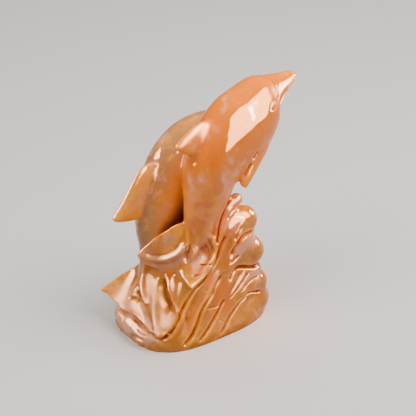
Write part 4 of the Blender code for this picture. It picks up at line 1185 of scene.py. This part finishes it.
def agate(look):
    """Polished agate: honey stone with ochre, lilac and amber clouds and painted light and shade, fixed to
    the carving's own place.
    """
    material = bpy.data.materials.new("agate")
    material.use_nodes = True
    material.node_tree.nodes.clear()
    board = Board(material.node_tree)
    coordinates = board.add("ShaderNodeTexCoord", output="Object")
    place = board.add("ShaderNodeVectorMath", {"operation": "SCALE"}, {0: coordinates, "Scale": MILLIMETRES})
    split = board.add("ShaderNodeSeparateXYZ", {}, {0: place})
    marks = {axis: Flow(board, split.socket.node.outputs[axis]) for axis in "XYZ"}
    for name in ("thick", "nook", "hollow", *CLOUDS):
        marks[name] = board.add("ShaderNodeAttribute", {"attribute_name": name}, output="Fac")
    for name, (scale, detail, distortion, shift) in NOISES.items():
        moved = board.add("ShaderNodeVectorMath", {"operation": "ADD"}, {0: place, 1: shift})
        sockets = {
            "Vector": moved,
            "Scale": scale,
            "Detail": detail,
            "Roughness": NOISE_ROUGHNESS,
            "Distortion": distortion,
        }
        marks[name] = board.add("ShaderNodeTexNoise", {}, sockets, output="Fac") - 0.5

    def pattern(name):
        """0 where the sum of the pattern's marks is low, 1 where it is high."""
        parts, start, full = PATTERNS[name]
        return sum(marks[part] * weight for part, weight in parts.items()).between(start, full)

    calm = pattern("high")
    thin = 1.0 - pattern("thick")
    behind = pattern("far_side") * pattern("over_foot")
    marks.update(calm=calm, thin=thin, behind=behind)
    low = 1.0 - pattern("over_waves")
    rough = (1.0 - pattern("right_of_rough_end")) * (1.0 - pattern("over_rough_end"))
    groove = pattern("groove")
    shaded = low * pattern("fluke_height") * (1.0 - pattern("right_of_flukes"))
    cloud = board.blend(shaded * (marks["broad"] * 3.0 + 0.8).clear(), look.lilac, look.plum)
    vein = board.blend(pattern("vein_height"), look.amber, look.tangerine)
    crystals = rough * pattern("off_floor") * pattern("off_front")
    # Coats of colour from the lowest up: how far each covers what is under it, and its colour.
    coats = (
        (calm * 0.9, look.tangerine),
        (behind * (1.0 - thin * 0.6) * 0.85, look.ochre),
        (pattern("brown") * (low * 0.3 + 0.25), look.umber),
        # Gold flecks of the stone's own, with painted glow where the stone is thin.
        (pattern("gold") * 0.65, look.gold),
        # Milky clouds, and pale lilac on the crest and the curls as painted highlights.
        (pattern("milk_and_highlight") * 0.75, cloud),
        # Amber veins, and amber laid low down as painted shade in hollows and troughs.
        (pattern("amber") * 0.85, vein),
        # Painted shade: umber at the bottoms of the grooves.
        (groove * 0.9, look.umber),
        # Painted highlight: gold along sharp edges.
        ((1.0 - pattern("off_edges")) * 0.4, look.gold),
        # Painted shade: umber in nooks, where the stone is closed in.
        (pattern("nook") * 0.75, look.umber),
        (crystals * (marks["fleck"] * 2.4 + marks["patch"] * 1.6 + 0.45).clear(), look.frost),
    )
    # Darker towards the bottom: the waves' own toffee, deepened as painted shade where the low stone gets
    # less light.
    base = board.blend(low, look.honey, look.toffee)
    for cover, colour in coats:
        base = board.blend(cover, base, colour)
    ripples = marks["ripple"] + rough * marks["fine"] * 2.0
    sockets = {"Strength": RIPPLE_STRENGTH, "Distance": RIPPLE_HEIGHT, "Height": ripples}
    bump = board.add("ShaderNodeBump", {}, sockets)

    def finish(shine, roughness):
        """The stone's shader, with its own shine and roughness."""
        sockets = {
            "Base Color": base,
            "Roughness": roughness,
            "Normal": bump,
            "IOR": LIGHT_BENDING,
            "Specular IOR Level": shine,
            "Subsurface Weight": look.glow,
            "Subsurface Radius": LIGHT_SPREAD,
            "Subsurface Scale": look.glow_depth,
        }
        return board.add("ShaderNodeBsdfPrincipled", {}, sockets)

    dull = (groove * 0.95 + marks["matt"] + marks["nook"] * 1.2).clear()
    roughness = rough * ROUGH_END_ROUGHNESS + marks["satin"] * SATIN_ROUGHNESS + look.roughness
    finishes = {1: finish(POLISHED_SHINE, roughness), 2: finish(DULL_SHINE, DULL_ROUGHNESS)}
    end = board.add("ShaderNodeMixShader", {}, {0: dull, **finishes})
    output = board.tree.nodes.new("ShaderNodeOutputMaterial")
    board.tree.links.new(end.socket, output.inputs["Surface"])
    return material


def plain(name, colour, roughness):
    """An even, matt finish for the stage."""
    material = bpy.data.materials.new(name)
    material.use_nodes = True
    shader = material.node_tree.nodes["Principled BSDF"]
    shader.inputs["Base Color"].default_value = (*colour, 1.0)
    shader.inputs["Roughness"].default_value = roughness
    shader.inputs["Specular IOR Level"].default_value = 0.0
    return material


def camera_axes(stage):
    """The camera's right, up and backward directions."""
    right = Vector((math.cos(stage.azimuth), math.sin(stage.azimuth), 0.0))
    level = Vector((right.y, -right.x, 0.0))
    back = level * math.cos(stage.elevation) + Vector((0.0, 0.0, math.sin(stage.elevation)))
    return right, back.cross(right), back


def add_light(name, place, aim, size, power, warmth, sheen):
    """A soft box: a rectangular light that faces its aim, and may give highlights only."""
    light = bpy.data.lights.new(name, "AREA")
    light.shape = "RECTANGLE"
    light.size, light.size_y = size
    light.energy = power
    light.color = [1.0 - warmth * share for share in WARMEST]
    lamp = put(name, light)
    lamp.visible_diffuse = not sheen
    lamp.visible_glossy = sheen
    lamp.visible_camera = False
    lamp.location = place
    lamp.rotation_euler = (Vector(place) - Vector(aim)).to_track_quat("Z", "Y").to_euler()


def add_floor(stage):
    """A pale, matt floor for the carving to stand on."""
    half = stage.floor_size / 2
    corners = [(-half, -half, 0.0), (half, -half, 0.0), (half, half, 0.0), (-half, half, 0.0)]
    mesh = bpy.data.meshes.new("floor")
    mesh.from_pydata(corners, [], [(0, 1, 2, 3)])
    mesh.materials.append(plain("pale_floor", stage.floor_colour, FLOOR_ROUGHNESS))
    put("floor", mesh)


def add_camera(stage, middle, right, up, back):
    """A camera that looks straight at the picture's middle."""
    lens = bpy.data.cameras.new("camera")
    lens.sensor_width = SENSOR_WIDTH
    lens.lens = SENSOR_WIDTH * stage.distance / stage.view_width
    lens.clip_start = NEAREST_SEEN
    turned = Matrix((right, up, back)).transposed().to_4x4()
    turned.translation = middle + back * stage.distance
    camera = put("camera", lens)
    camera.matrix_world = turned
    bpy.context.scene.camera = camera


def add_room():
    """Weak, even light from all round."""
    world = bpy.data.worlds.new("room")
    world.use_nodes = True
    sky = world.node_tree.nodes["Background"]
    sky.inputs["Color"].default_value = ROOM_COLOUR
    sky.inputs["Strength"].default_value = ROOM_LIGHT
    bpy.context.scene.world = world


class AGATE_OT_carve(bpy.types.Operator):
    """Carves, polishes and dresses the stone"""

    bl_idname = "agate.carve"
    bl_label = "Carve the dolphins"

    def execute(self, context):
        scene = context.scene
        carving = carve(scene.agate_shape, agate(scene.agate_stone))
        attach(carving, "root")
        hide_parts(NODE)
        return {"FINISHED"}


class AGATE_OT_stage(bpy.types.Operator):
    """Sets up the floor, the soft lights and the camera"""

    bl_idname = "agate.stage"
    bl_label = "Set up the stage"

    def execute(self, context):
        stage = context.scene.agate_stage
        add_floor(stage)
        right, up, back = camera_axes(stage)
        middle = right * stage.side_step + Vector((0.0, 0.0, stage.middle_height))
        add_camera(stage, middle, right, up, back)
        for name, (sideways, upwards, towards), *rest in LIGHTS:
            place = middle + right * sideways + up * upwards + back * towards
            add_light(name, place, middle, *rest)
        add_room()
        return {"FINISHED"}


class AGATE_PT_panel(bpy.types.Panel):
    """Sizes, colours and the steps of the carving"""

    bl_idname = "AGATE_PT_panel"
    bl_label = "Agate Dolphins"
    bl_space_type = "VIEW_3D"
    bl_region_type = "UI"
    bl_category = "Agate"

    def draw(self, context):
        column = self.layout.column()
        for group, step in (
            (context.scene.agate_shape, None),
            (context.scene.agate_stone, AGATE_OT_carve.bl_idname),
            (context.scene.agate_stage, AGATE_OT_stage.bl_idname),
        ):
            for name in group.__annotations__:
                column.prop(group, name)
            if step:
                column.operator(step)


CLASSES = (AgateShape, AgateStone, AgateStage, AGATE_OT_carve, AGATE_OT_stage, AGATE_PT_panel)


def register():
    for kind in CLASSES:
        bpy.utils.register_class(kind)
    bpy.types.Scene.agate_shape = PointerProperty(type=AgateShape)
    bpy.types.Scene.agate_stone = PointerProperty(type=AgateStone)
    bpy.types.Scene.agate_stage = PointerProperty(type=AgateStage)


def unregister():
    del bpy.types.Scene.agate_stage
    del bpy.types.Scene.agate_stone
    del bpy.types.Scene.agate_shape
    for kind in reversed(CLASSES):
        bpy.utils.unregister_class(kind)


def main():
    register()
    bpy.ops.agate.carve()
    bpy.ops.agate.stage()


if __name__ == "__main__":
    main()
